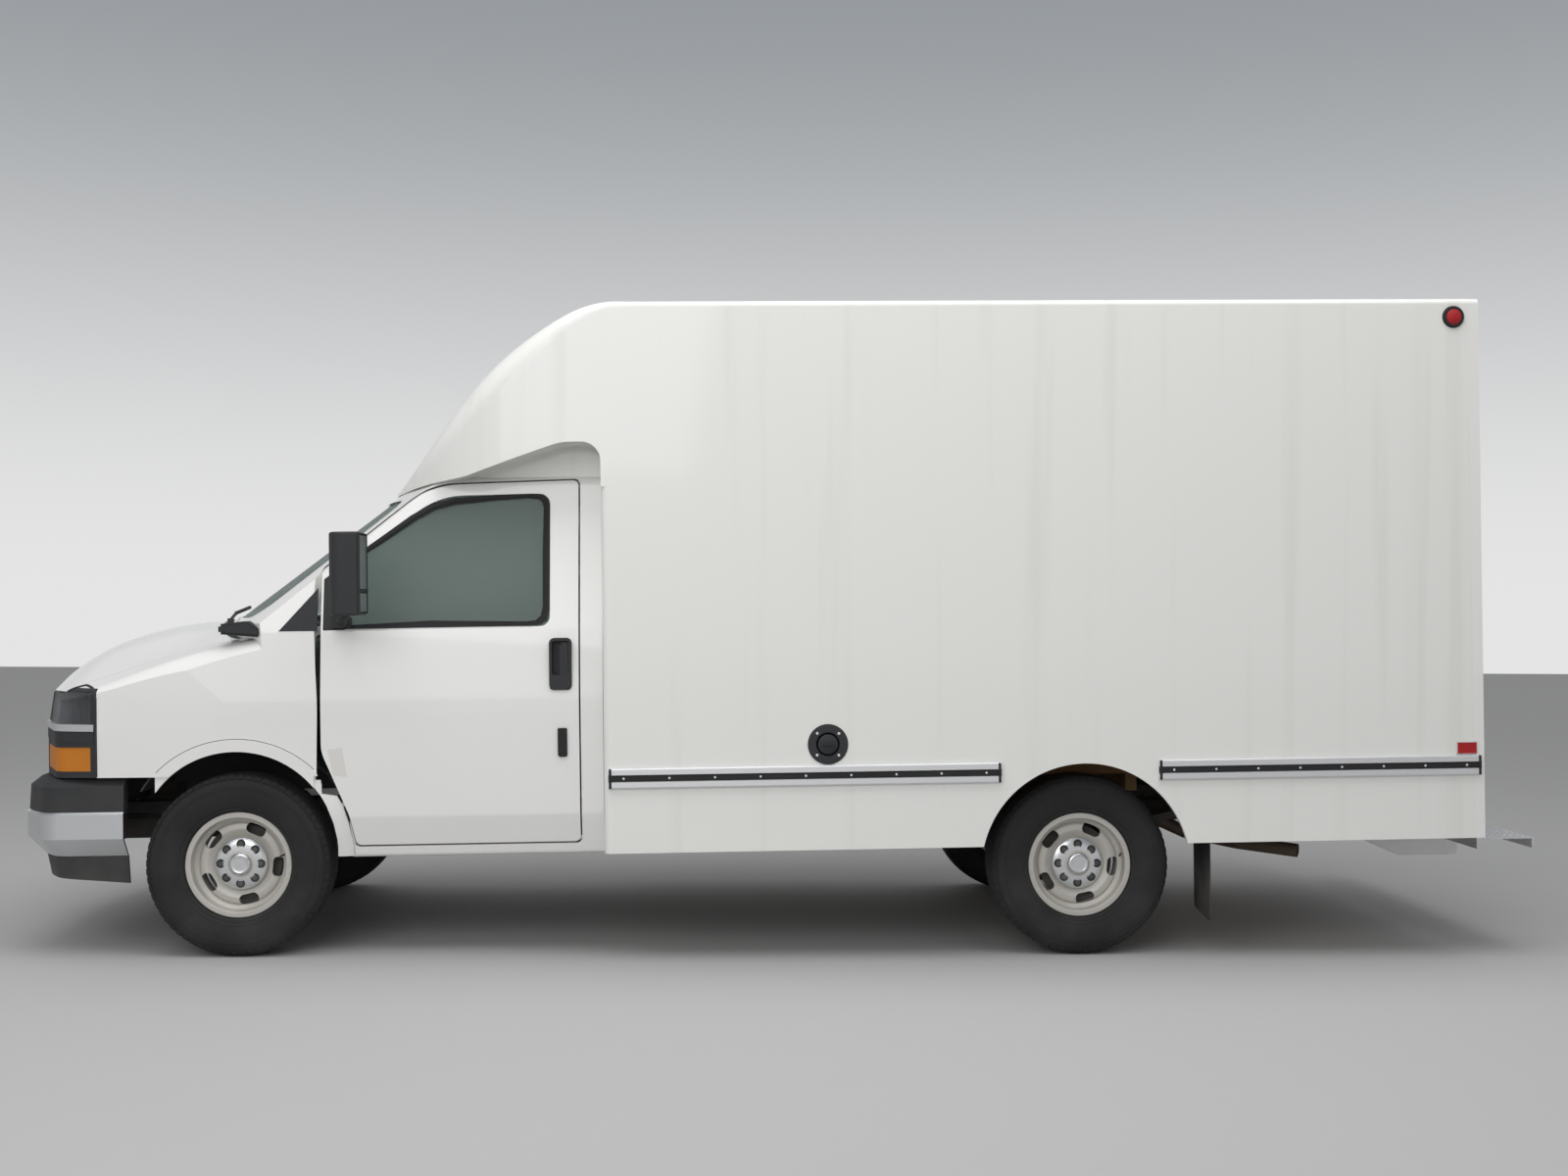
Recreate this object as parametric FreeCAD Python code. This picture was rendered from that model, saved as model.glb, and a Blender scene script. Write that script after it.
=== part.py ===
import FreeCAD, Part
import math
import os
from FreeCAD import Vector

# Box truck on a cutaway van cab.  Millimetres, +Z up, the truck faces -X, its left side is at -Y.
# Body pieces are built level: x from the front axle, y from the middle, z from the body datum.
# The body then leans nose down about the front axle, and the whole truck moves to its origin,
# on the ground below the middle of its outline.

# Stance
WHEELBASE = 3531.0
TRACK = 1734.0              # between the middle planes of the two wheels of an axle
HUB_HEIGHT = 372.0          # front wheel centre above the body datum
TYRE_RADIUS = 380.0
BODY_RAKE = 1.05            # degrees, nose down
KINGPIN_OFFSET = 77.0       # kingpin inboard of the wheel's middle plane

# Wheels
TYRE_WIDTH = 245.0
RIM_FLANGE_RADIUS = 220.0
RIM_WIDTH = 178.0
RIM_BASE_RADIUS = 198.0
HAND_HOLES = 5
HAND_HOLE_CIRCLE = 153.0
HAND_HOLE_WIDTH = 46.0
HAND_HOLE_LENGTH = 82.0
HAND_HOLE_TURN = 23.0       # degrees of the first hole from the top
CAP_RADIUS = 109.0
CAP_DOME_RADIUS = 45.0
LUGS = 8
LUG_CIRCLE = 82.5
LUG_RADIUS = 21.0

# Cab
CAB_REAR = 1519.0
ROCKER_BOTTOM = 394.0
ROCKER_HALF_WIDTH = 945.0
SILL_CREASE_HEIGHT = 565.0
SILL_CREASE_HALF_WIDTH = 988.0
BAND_BOTTOM = 991.0
BAND_TOP = 1058.0
BAND_HALF_WIDTH = 1003.0
CREASE_RADIUS = 260.0
BELT_HEIGHT = 1340.0
BELT_HALF_WIDTH = 978.0
RAIL_HEIGHT = 1985.0
RAIL_HALF_WIDTH = 856.0
ROOF_HEIGHT = 2016.0
SCREEN_BASE_X = -200.0
SCREEN_BASE_HEIGHT = 1375.0
SCREEN_SLOPE = 36.7         # degrees from level
SCREEN_BOW = 245.0          # how far the screen's sides lie behind its middle
PILLAR_WALL = 58.0
ROOF_WALL = 42.0
CAB_FLOOR = 640.0
CAB_FLOOR_WALL = 30.0
FIREWALL = 40.0
GLASS = 6.0
GLASS_INSET = 9.0           # outer face of the panes behind the skin
FIT = 0.3                   # running fit between seated pieces
UP = Vector(0, 0, 1)

# Cab doors
DOOR_FRONT = 352.0
DOOR_REAR = 1419.0
DOOR_BOTTOM = 446.0
DOOR_STRAIGHT_LOW = 722.0   # above this the door's front edge lies ahead of its hinge
DOOR_SWEEP_LOW = 625.0      # below this the edge swings out past the skin round it
DOOR_TOP = 1962.0
DOOR_GAP = 7.0
DOOR_WALL = 75.0
DOOR_HINGE_X = 400.0
DOOR_HINGE_Y = 955.0
WINDOW_FRONT = 390.0
WINDOW_REAR = 1300.0
WINDOW_SILL = 1350.0
WINDOW_TOP = 1912.0

# Front sheet metal
NOSE_X = -915.0
NOSE_HALF_WIDTH = 955.0
NOSE_LEAN = 0.16            # backwards per unit of height, above the level where it starts
NOSE_LEAN_HEIGHT = 930.0
NOSE_LEAN_RISE = 570.0
FENDER_BOTTOM = 744.0
SKIN = 20.0
HOOD_SPLIT = 800.0          # half width of the hood
HOOD_GAP = 6.0
HOOD_HINGE_X = -8.0
HOOD_HINGE_Z = 1366.0
HOOD_WALL = 24.0
ARCH_RADIUS = 410.0
ARCH_CENTRE_Z = 436.0
LIP_WIDTH = 48.0            # raised lip round the front wheel openings
LIP_RISE = 7.0
STRIP_SET_BACK = 12.0       # of the fender behind the wheel, which the opening door swings over
LINER_RADIUS = 470.0
LINER_INNER = 505.0         # half distance between the inner walls of the front arches

# Front bumper
BUMPER_FRONT = -990.0
BUMPER_TOP = 604.0
BUMPER_BOTTOM = 415.0
BUMPER_HALF_WIDTH = 985.0
BUMPER_END = -462.0
BUMPER_WALL = 14.0
PAD_TOP = 738.0

# Box body
BOX_FRONT = 1524.0
BOX_REAR = 5236.0
BOX_BOTTOM = 408.0
BOX_TOP = 2697.0
BOX_HALF_WIDTH = 1092.0
BOX_WALL = 24.0
BOX_EDGE = 26.0
NOSE_REAR = 1640.0           # where the nose's loft meets the straight box
NOSE_LOW = 1925.0
NOSE_UNDERSIDE = 2112.0
ROOF_CROWN = 4.0
CROWN_SHARE = 0.75          # of a roof corner's height that its rounding leaves
BOX_FLOOR = 700.0
FLOOR_BOARD = 32.0
REAR_ARCH_RADIUS = 442.0
WHEEL_BOX_WALL = 6.0

# Ladder frame
RAIL_OUTER = 465.0
RAIL_WIDTH = 80.0
RAIL_BOTTOM = 430.0
RAIL_TOP = 590.0
RAIL_WALL = 8.0
FRAME_FRONT = -830.0
FRAME_REAR = 5150.0

# Door handle, seen from the side
HANDLE_LEFT = 1297.0
HANDLE_RIGHT = 1391.0
HANDLE_LOW = 1083.0
HANDLE_HIGH = 1300.0
HANDLE_RECESS = 28.0
DOOR_FRAME_WALL = 46.0

# Door mirror
MIRROR_FRONT = 436.0
MIRROR_REAR = 565.0
MIRROR_LOW = 1405.0
MIRROR_HIGH = 1742.0
MIRROR_INNER = 1105.0
MIRROR_OUTER = 1290.0
MIRROR_FOOT_HEIGHT = 1375.0

# Front end stations: x, height at the middle, height above the wheels
FENDER_CROWN_Y = 880.0
FRONT_HALF_WIDTH = BAND_HALF_WIDTH + 4
SHOULDER_RADIUS = 130.0
FRONT_FLOOR_HALF = ROCKER_HALF_WIDTH - SKIN
FRONT_STATIONS = [
    (-930.0, 1060.0, 985.0),
    (-895.0, 1155.0, 1012.0),
    (-838.0, 1220.0, 1042.0),
    (-757.0, 1272.0, 1085.0),
    (-650.0, 1315.0, 1125.0),
    (-432.0, 1367.0, 1197.0),
    (-200.0, 1386.0, 1265.0),
    (60.0, 1395.0, 1322.0),
    (520.0, 1400.0, 1345.0),
]

# Hood, cowl and lamps
HOOD_FRONT_EDGE = 1096.0    # height of the hood's front edge above the grille
COWL_DEPTH = 46.0
FENDER_REAR_GAP = 7.0
FENDER_FOOT = DOOR_FRONT + 130.0
LAMP_TOP = 1112.0
LAMP_REAR = -572.0
LAMP_INNER = 622.0
HEADLAMP_LOW = 967.0
HEADLAMP_HIGH = 1100.0
TURN_LOW = 770.0
TURN_HIGH = 870.0
LAMP_DEPTH = 46.0
LAMP_FRAME = 26.0

# Wheel liners
LINER_WALL = 6.0
LINER_BOTTOM = 640.0

# Grille and radiator
GRILLE_DEPTH = 40.0
GRILLE_BORDER = 34.0
GRILLE_RIBS = 11
GRILLE_BARS = 3
GRILLE_BAR = 26.0
GRILLE_RIB = 9.0
RADIATOR_FRONT = -806.0
RADIATOR_DEPTH = 90.0

# Bumper face, pad and air dam
BUMPER_KNEE = 492.0
BUMPER_TUCK = 66.0
BUMPER_ROLL = 10.0
BUMPER_LEDGE = 60.0
PAD_BOTTOM = BUMPER_TOP + FIT
PAD_SHOULDER = 706.0
DAM_TOP = BUMPER_BOTTOM - FIT
DAM_BOTTOM = 292.0
DAM_INSET = 92.0

# Nose of the box over the cab, at stations along x: half width, height in the middle,
# rise from the shoulders to the middle, and shoulder radius
NOSE_STATIONS = [
    (568.0, 300.0, 1985.0, 26.0, 12.0),
    (632.0, 540.0, 2041.0, 75.0, 30.0),
    (700.0, 710.0, 2121.0, 105.0, 60.0),
    (780.0, 845.0, 2217.0, 122.0, 95.0),
    (900.0, 960.0, 2359.0, 125.0, 130.0),
    (1080.0, 1045.0, 2524.0, 95.0, 140.0),
    (1280.0, 1082.0, 2629.0, 45.0, 105.0),
    (1450.0, BOX_HALF_WIDTH, 2683.0, 12.0, 55.0),
    (1560.0, BOX_HALF_WIDTH, BOX_TOP, ROOF_CROWN, BOX_EDGE + 6),
    (NOSE_REAR, BOX_HALF_WIDTH, BOX_TOP, ROOF_CROWN, BOX_EDGE),
]

# Wheel housings, rear frame and neck
WHEEL_BOX_INNER = 700.0
WHEEL_BOX_LENGTH = 930.0
WHEEL_BOX_TOP = 800.0
REAR_FRAME_DEPTH = 46.0
FRONT_SKIRT_INNER = 930.0
NECK_WALL = 30.0
NECK_FRONT = 860.0

# Fuel filler
FILLER_X = 2453.0
FILLER_Z = 846.0
FILLER_RADIUS = 80.0

# Floor sills
SILL_COUNT = 9
SILL_WIDTH = 50.0

# Rear doors
REAR_OPENING_HALF = 1012.0
REAR_OPENING_LOW = 716.0
REAR_OPENING_HIGH = 2610.0
REAR_DOOR_WALL = 46.0
REAR_DOOR_GAP = 6.0
REAR_HINGE_X = BOX_REAR + 8
REAR_HINGE_Y = 1040.0
REAR_HINGES = 4
HINGE_PIN = 7.0

# Rub rails and reflectors
RUB_LOW = 676.0
RUB_HIGH = 760.0
RUB_DEPTH = 16.0
RUB_SPANS = [(1542.0, 3177.0), (3840.0, 5219.0)]
REFLECTOR_DEPTH = 7.0

# Rear step
STEP_REAR = 5505.0
STEP_TOP = 388.0
STEP_BOTTOM = 342.0
STEP_HALF = 960.0

# Cross members
CROSSMEMBERS = [-780.0, 1145.0, 1800.0, 2950.0, 4000.0, 5090.0]
CROSSMEMBER_HEIGHT = 46.0

# Knuckles and ball joints
KNUCKLE_HALF = 110.0
BALL_DROP = 24.0
BALL_RADIUS = 20.0
BALL_HALF = 16.0
BALL_PLAY = 1.2

# Leaf springs
SPRING_Y = 515.0
SPRING_HALF = 640.0
SPRING_SAG = 150.0
LEAF_WIDTH = 76.0

# Engine and its cover
COVER_REAR = 620.0
COVER_HALF_WIDTH = 330.0
COVER_TOP = 1120.0
COVER_WALL = 20.0
ENGINE_HALF = 270.0

# Exhaust
PIPE_RADIUS = 30.0
PIPE_Y = -250.0

# Fuel tank
TANK_START = 1960.0
TANK_END = 2860.0
TANK_BOTTOM = 420.0
TANK_TOP = RAIL_TOP - 5
TANK_OUTER = 930.0

# Seats
SEAT_Y = 410.0
SEAT_HALF = 255.0
SEAT_FRONT = 820.0
SEAT_REAR = 1300.0
SEAT_HEIGHT = 1010.0

# Dashboard
DASH_REAR = 330.0
DASH_HALF = 800.0

# Steering wheel and its column
WHEEL_CENTRE = Vector(560.0, -SEAT_Y, 1205.0)
COLUMN_SLOPE = 30.0
COLUMN_RADIUS = 44.0
STEER_RIM = 190.0
STEER_RIM_THICK = 15.0

# Wipers
WIPERS = [(-560.0, 470.0), (60.0, 470.0)]
WIPER_BOSS = 14.0

# Spindles
SPINDLE_RADIUS = 28.0


def place(plane, across, up, level):
    """A point of a drawing plane at a level along the plane's normal."""
    if plane == "xz":
        return Vector(across, level, up)
    if plane == "yz":
        return Vector(level, across, up)
    return Vector(across, up, level)


def outline(plane, corners, level=0.0):
    """A closed wire through corners (across, up) or (across, up, radius)."""
    count = len(corners)
    spans = []
    for index, corner in enumerate(corners):
        here = Vector(corner[0], corner[1], 0)
        radius = corner[2] if len(corner) > 2 else 0.0
        if radius <= 0.0:
            spans.append((here, here, None))
            continue
        before = corners[index - 1]
        after = corners[(index + 1) % count]
        back = (Vector(before[0], before[1], 0) - here).normalize()
        ahead = (Vector(after[0], after[1], 0) - here).normalize()
        half_angle = back.getAngle(ahead) / 2
        reach = radius / math.tan(half_angle)
        bisector = (back + ahead).normalize()
        centre = here + bisector * (radius / math.sin(half_angle))
        middle = centre - bisector * radius
        spans.append((here + back * reach, here + ahead * reach, middle))
    edges = []
    for index, (start, end, middle) in enumerate(spans):
        if middle is not None:
            arc = [place(plane, p.x, p.y, level) for p in (start, middle, end)]
            edges.append(Part.Arc(*arc).toShape())
        next_start = spans[(index + 1) % count][0]
        if (next_start - end).Length > 0.001:
            first = place(plane, end.x, end.y, level)
            last = place(plane, next_start.x, next_start.y, level)
            edges.append(Part.LineSegment(first, last).toShape())
    return Part.Wire(edges)


def prism(plane, corners, low, high):
    """A solid with the outline's section, from one level to another along the plane's normal."""
    face = Part.Face(outline(plane, corners, low))
    return face.extrude(place(plane, 0, 0, high - low))


def block(x0, x1, y0, y1, z0, z1):
    return Part.makeBox(x1 - x0, y1 - y0, z1 - z0, Vector(x0, y0, z0))


def rod(start, end, radius):
    """A round bar between two points."""
    run = end - start
    return Part.makeCylinder(radius, run.Length, start, run)


def ring(centre, direction, radius, thickness):
    return Part.makeTorus(radius, thickness, centre, direction)


def other_side(shape):
    """The mirror image across the truck's middle plane."""
    return shape.mirror(Vector(0, 0, 0), Vector(0, 1, 0))


def both_sides(shape):
    return [shape, other_side(shape)]


def join(shapes):
    """One fused shape from a list."""
    return shapes[0].multiFuse(shapes[1:]).removeSplitter()


def pair(shape):
    """The same piece on both sides of the truck, as solids of one compound."""
    return Part.makeCompound(both_sides(shape))


def symmetric(half):
    """Corners of a whole outline from its right half, listed from the bottom to the top."""
    left = [(-corner[0],) + tuple(corner[1:]) for corner in reversed(half)]
    return half + left


def cab_section(inset, low, high):
    """The cab's cross-section between two stations, its sides and roof drawn in by the inset."""
    half = [
        (ROCKER_HALF_WIDTH - inset, ROCKER_BOTTOM, 20),
        (SILL_CREASE_HALF_WIDTH - inset, SILL_CREASE_HEIGHT, 60),
        (BAND_HALF_WIDTH - inset, BAND_BOTTOM, CREASE_RADIUS),
        (BAND_HALF_WIDTH - inset, BAND_TOP, CREASE_RADIUS),
        (BELT_HALF_WIDTH - inset, BELT_HEIGHT, 80),
        (RAIL_HALF_WIDTH - inset, RAIL_HEIGHT - inset, 50),
    ]
    crown = [(0, ROOF_HEIGHT - inset, 6000)]
    left = [(-corner[0],) + tuple(corner[1:]) for corner in reversed(half)]
    return prism("yz", half + crown + left, low, high)


def bowed_plan(inset, level):
    """The cab seen from above at a level: a bowed front and open sides running back."""
    reach = RAIL_HALF_WIDTH + 300
    bow = SCREEN_BOW * (reach / RAIL_HALF_WIDTH) ** 2
    front = SCREEN_BASE_X + inset
    arc = Part.Arc(
        Vector(front + bow, -reach, level), Vector(front, 0, level), Vector(front + bow, reach, level)
    ).toShape()
    back = BOX_REAR
    corners = [
        Vector(front + bow, reach, level),
        Vector(back, reach, level),
        Vector(back, -reach, level),
        Vector(front + bow, -reach, level),
    ]
    sides = [Part.LineSegment(a, b).toShape() for a, b in zip(corners, corners[1:])]
    return Part.Face(Part.Wire([arc] + sides))


def cab_volume(inset):
    """The solid body of the cab behind its bowed screen, drawn in by the inset."""
    slope = math.radians(SCREEN_SLOPE)
    rise = ROOF_HEIGHT + 200 - SCREEN_BASE_HEIGHT
    along = inset / math.sin(slope)
    leaning = bowed_plan(along, SCREEN_BASE_HEIGHT).extrude(Vector(rise / math.tan(slope), 0, rise))
    upright = bowed_plan(along, SCREEN_BASE_HEIGHT).extrude(Vector(0, 0, ROCKER_BOTTOM - SCREEN_BASE_HEIGHT))
    front = leaning.fuse(upright)
    return cab_section(inset, SCREEN_BASE_X - 20, CAB_REAR).common(front)


def door_outline(grow):
    """The left door's edge seen from the side; growing it gives the opening round the door."""
    front = DOOR_FRONT - grow
    rear = DOOR_REAR + grow
    low = DOOR_BOTTOM - grow
    high = DOOR_TOP + grow
    return [
        (front, 840, 150),
        (front + 113, 570, 150),
        (front + 138, low, 25),
        (rear, low, 25),
        (rear, high + 6, 25),
        (front + 440, high - 12, 380),
        (front, 1598 + grow, 12),
    ]


def window_outline(shrink):
    """The left window's opening seen from the side."""
    front = WINDOW_FRONT + shrink
    rear = WINDOW_REAR - shrink
    low = WINDOW_SILL + shrink
    high = WINDOW_TOP - shrink
    return [
        (front, low, 12),
        (rear, low, 42),
        (rear, high, 48),
        (front + 445, high - 8, 320),
        (front, high - 326, 12),
    ]


def side_prism(corners, inner=RAIL_HALF_WIDTH - 60):
    """A prism through the left side of the cab, from inside the pillars outwards."""
    return prism("xz", corners, -BAND_HALF_WIDTH - 100, -inner)


def screen_outline(shrink):
    """The windscreen's opening seen from the front."""
    low = SCREEN_BASE_HEIGHT + 22 + shrink
    high = RAIL_HEIGHT - 90 - shrink
    half = [(RAIL_HALF_WIDTH - 18 - shrink, low, 70), (RAIL_HALF_WIDTH - 92 - shrink, high, 80)]
    return symmetric(half)


def door_sweep():
    """The room that the left door's front edge needs about its hinge axis."""
    edge = math.hypot(DOOR_HINGE_X - DOOR_FRONT, BAND_HALF_WIDTH - DOOR_HINGE_Y)
    foot = BAND_HALF_WIDTH - DOOR_HINGE_Y
    axis = Vector(DOOR_HINGE_X, -DOOR_HINGE_Y, 0)
    upper = Part.makeCylinder(edge + DOOR_GAP + 3.5, DOOR_TOP - DOOR_STRAIGHT_LOW, axis + UP * DOOR_STRAIGHT_LOW)
    height = DOOR_STRAIGHT_LOW - DOOR_SWEEP_LOW
    lower = Part.makeCylinder(foot + DOOR_GAP + 4.5, height, axis + UP * DOOR_SWEEP_LOW)
    return upper.fuse(lower)


def front_arch(radius):
    """The round wheel opening through the left front side."""
    return Part.makeCylinder(
        radius,
        BAND_HALF_WIDTH + 100 - LINER_INNER,
        Vector(0, -BAND_HALF_WIDTH - 100, ARCH_CENTRE_Z),
        Vector(0, 1, 0),
    )


def make_cab_shell():
    outer = cab_volume(0)
    lining = cab_volume(ROOF_WALL)
    low = block(SCREEN_BASE_X + FIREWALL + 60, CAB_REAR + 1, -1200, 1200, CAB_FLOOR, ROOF_HEIGHT + 100)
    shell = outer.cut(lining.common(low))
    half_floor = ROCKER_HALF_WIDTH - PILLAR_WALL - 20
    under = block(SCREEN_BASE_X - 30, CAB_REAR + 1, -half_floor, half_floor, 0, CAB_FLOOR - CAB_FLOOR_WALL)
    ahead = block(SCREEN_BASE_X - 30, FENDER_FOOT - SKIN, -1200, 1200, 0, CAB_FLOOR - CAB_FLOOR_WALL)
    shell = shell.cut([under, ahead])
    cover_hole = block(
        SCREEN_BASE_X - 30, COVER_REAR - COVER_WALL, -COVER_HALF_WIDTH + COVER_WALL,
        COVER_HALF_WIDTH - COVER_WALL, 0, COVER_TOP - COVER_WALL
    )
    cuts = [cover_hole, prism("yz", screen_outline(0), SCREEN_BASE_X - 50, 1000)]
    for side in both_sides(side_prism(door_outline(DOOR_GAP))):
        cuts.append(side)
    for sweep in both_sides(door_sweep()):
        cuts.append(sweep)
    for arch in both_sides(front_arch(LINER_RADIUS + FIT)):
        cuts.append(arch)
    shell = shell.cut(cuts)
    side_skin = front_crown(0).common(block(NOSE_X - 100, FENDER_FOOT + FIT, -1200, 1200, 0, 1500))
    between = block(NOSE_X - 100, 600, -HOOD_SPLIT - HOOD_GAP + FIT, HOOD_SPLIT + HOOD_GAP - FIT, 0, 1500)
    fender_room = side_skin.cut([front_volume(SKIN + FIT), between])
    shell = shell.cut(fender_room)
    return largest_solids(shell, 1)


def largest_solids(shape, count):
    """The biggest solids of a shape, without crumbs that cuts leave."""
    solids = sorted(shape.Solids, key=lambda solid: -solid.Volume)[:count]
    return solids[0] if count == 1 else Part.makeCompound(solids)


def make_windshield():
    pane = cab_volume(GLASS_INSET).cut(cab_volume(GLASS_INSET + GLASS))
    return largest_solids(pane.common(prism("yz", screen_outline(FIT), SCREEN_BASE_X - 50, 1000)), 1)


def make_door():
    """The left door, as thick as the real one with its trim, with its window cut."""
    skin = cab_volume(0)
    inner = cab_section(DOOR_WALL, SCREEN_BASE_X - 40, CAB_REAR + 20)
    door = skin.common(side_prism(door_outline(0), RAIL_HALF_WIDTH - DOOR_FRAME_WALL)).cut(inner)
    frame_wall = cab_section(DOOR_FRAME_WALL, SCREEN_BASE_X - 40, CAB_REAR + 20)
    above = block(0, CAB_REAR, -1200, 0, BELT_HEIGHT + 20, ROOF_HEIGHT)
    door = door.cut(frame_wall.common(above))
    door = door.cut(side_prism(window_outline(0)))
    recess = door_handle_outline()
    door = door.cut(prism("xz", recess, -BAND_HALF_WIDTH - 20, -BAND_HALF_WIDTH + HANDLE_RECESS))
    return largest_solids(door, 1)


def make_door_glass():
    pane = cab_section(GLASS_INSET, 0, CAB_REAR).cut(cab_section(GLASS_INSET + GLASS, -10, CAB_REAR + 10))
    return largest_solids(pane.common(side_prism(window_outline(FIT))), 1)


def door_handle_outline(shrink=0.0):
    return [
        (HANDLE_LEFT + shrink, HANDLE_LOW + shrink, 22),
        (HANDLE_RIGHT - shrink, HANDLE_LOW + shrink, 22),
        (HANDLE_RIGHT - shrink, HANDLE_HIGH - shrink, 22),
        (HANDLE_LEFT + shrink, HANDLE_HIGH - shrink, 22),
    ]


def make_door_handle():
    """The left handle: a rounded bezel, a finger recess and a lever across it."""
    back = -BAND_HALF_WIDTH + HANDLE_RECESS - FIT
    bezel = prism("xz", door_handle_outline(FIT), -BAND_HALF_WIDTH - 6, back)
    pocket = [
        (HANDLE_LEFT + 12, HANDLE_LOW + 62, 12),
        (HANDLE_RIGHT - 12, HANDLE_LOW + 62, 12),
        (HANDLE_RIGHT - 12, HANDLE_HIGH - 12, 12),
        (HANDLE_LEFT + 12, HANDLE_HIGH - 12, 12),
    ]
    bezel = bezel.cut(prism("xz", pocket, -BAND_HALF_WIDTH - 20, back - 6))
    lever = [
        (HANDLE_LEFT + 44, HANDLE_LOW + 56, 6),
        (HANDLE_RIGHT - 14, HANDLE_LOW + 56, 6),
        (HANDLE_RIGHT - 14, HANDLE_HIGH - 18, 14),
        (HANDLE_LEFT + 44, HANDLE_HIGH - 30, 10),
    ]
    grip = prism("xz", lever, -BAND_HALF_WIDTH - 4, -BAND_HALF_WIDTH + 8)
    return join([bezel, grip])


def make_mirror():
    """The left mirror: a tall rounded head on a crooked arm from a foot on the door."""
    section = [
        (MIRROR_FRONT, -MIRROR_OUTER + 50, 60),
        (MIRROR_FRONT + 30, -MIRROR_OUTER, 40),
        (MIRROR_REAR, -MIRROR_OUTER, 12),
        (MIRROR_REAR, -MIRROR_INNER, 12),
        (MIRROR_FRONT + 30, -MIRROR_INNER, 40),
    ]
    head = prism("xy", section, MIRROR_LOW, MIRROR_HIGH)
    ends = [edge for edge in head.Edges if abs(edge.BoundBox.ZLength) < 0.1]
    head = head.makeFillet(10, ends)
    knuckle = Vector(MIRROR_FRONT + 20, -MIRROR_INNER + 20, MIRROR_LOW - 30)
    foot = Vector(WINDOW_FRONT + 45, -BELT_HALF_WIDTH - 26, MIRROR_FOOT_HEIGHT)
    arm = rod(foot, knuckle, 18)
    riser = rod(knuckle, knuckle + Vector(40, -60, 60), 20)
    ball = Part.makeSphere(22, knuckle)
    pad = prism(
        "xz",
        [(WINDOW_FRONT + 12, 1352, 10), (WINDOW_FRONT + 90, 1352, 14), (WINDOW_FRONT + 90, 1400, 14),
         (WINDOW_FRONT + 12, 1400, 10)],
        -BELT_HALF_WIDTH - 40, -BELT_HALF_WIDTH + 16,
    )
    pad = pad.cut(cab_section(-FIT, 0, CAB_REAR))
    return join([head, arm, riser, ball, pad])


def crown_wire(station, inset):
    """One station of the front end: upright sides, rounded shoulders and an arched top."""
    x, middle, side = station
    rise = (middle - side) * (FRONT_HALF_WIDTH / FENDER_CROWN_Y) ** 2
    return load_section((x, FRONT_HALF_WIDTH, middle, rise, SHOULDER_RADIUS), ROCKER_BOTTOM - 100, inset)


def front_plan(inset):
    """The front end seen from above, its rounded corners carrying the lamps."""
    half = [
        (NOSE_X + inset, 0, 3000),
        (NOSE_X + 35 + inset, 640 - inset / 2, 60),
        (-745 + inset / 2, NOSE_HALF_WIDTH - 15 - inset, max(90 - inset, 5)),
        (-560, NOSE_HALF_WIDTH + 15 - inset, 300),
        (520, BAND_HALF_WIDTH + 40 - inset),
    ]
    mirrored = [(x, -y) + tuple(rest) for x, y, *rest in reversed(half[1:])]
    return half + mirrored


def front_profile(inset):
    """The bottom edges of the nose and the fenders, seen from the side; inner shapes run on down."""
    drop = 60 if inset > 0 else 0
    return [
        (NOSE_X - 50, FENDER_BOTTOM - drop),
        (NOSE_X - 50, ROOF_HEIGHT),
        (520, ROOF_HEIGHT),
        (520, ROCKER_BOTTOM - drop),
        (-330, ROCKER_BOTTOM - drop),
        (-330, FENDER_BOTTOM - drop),
    ]


def front_crown(inset):
    """A body wider than the truck under the arched top of hood and fenders."""
    wires = [crown_wire(station, inset) for station in FRONT_STATIONS]
    return Part.makeLoft(wires, True, False)


def front_volume(inset):
    """The solid shape of hood, fenders and nose, drawn in by the inset."""
    plan = Part.Face(outline("xy", front_plan(inset), NOSE_LEAN_HEIGHT))
    upright = plan.extrude(Vector(0, 0, ROCKER_BOTTOM - 90 - NOSE_LEAN_HEIGHT))
    leaning = plan.extrude(Vector(NOSE_LEAN * NOSE_LEAN_RISE, 0, NOSE_LEAN_RISE))
    body = front_crown(inset).common(upright.fuse(leaning))
    body = body.common(prism("xz", front_profile(inset), -1200, 1200))
    sides = cab_section(inset, NOSE_X - 50, 600)
    if inset > 0:
        floor = block(NOSE_X - 50, 600, -FRONT_FLOOR_HALF, FRONT_FLOOR_HALF, 300, ROCKER_BOTTOM + 20)
        sides = sides.fuse(floor)
    return body.common(sides)


def hood_edge(grow):
    """The hood seen from above; growing it gives the opening that it closes."""
    rear = SCREEN_BASE_X - COWL_DEPTH + grow
    half = HOOD_SPLIT + grow
    bow = SCREEN_BOW * (half / RAIL_HALF_WIDTH) ** 2
    arc = Part.Arc(Vector(rear + bow, -half, 0), Vector(rear, 0, 0), Vector(rear + bow, half, 0)).toShape()
    corners = [
        Vector(rear + bow, half, 0), Vector(-1100, half, 0),
        Vector(-1100, -half, 0), Vector(rear + bow, -half, 0),
    ]
    sides = [Part.LineSegment(a, b).toShape() for a, b in zip(corners, corners[1:])]
    face = Part.Face(Part.Wire([arc] + sides))
    face.translate(Vector(0, 0, HOOD_FRONT_EDGE - grow))
    return face.extrude(Vector(0, 0, 1000))


def make_hood():
    panel = front_volume(0).cut(front_volume(HOOD_WALL))
    return largest_solids(panel.common(hood_edge(0)), 1)


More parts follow.
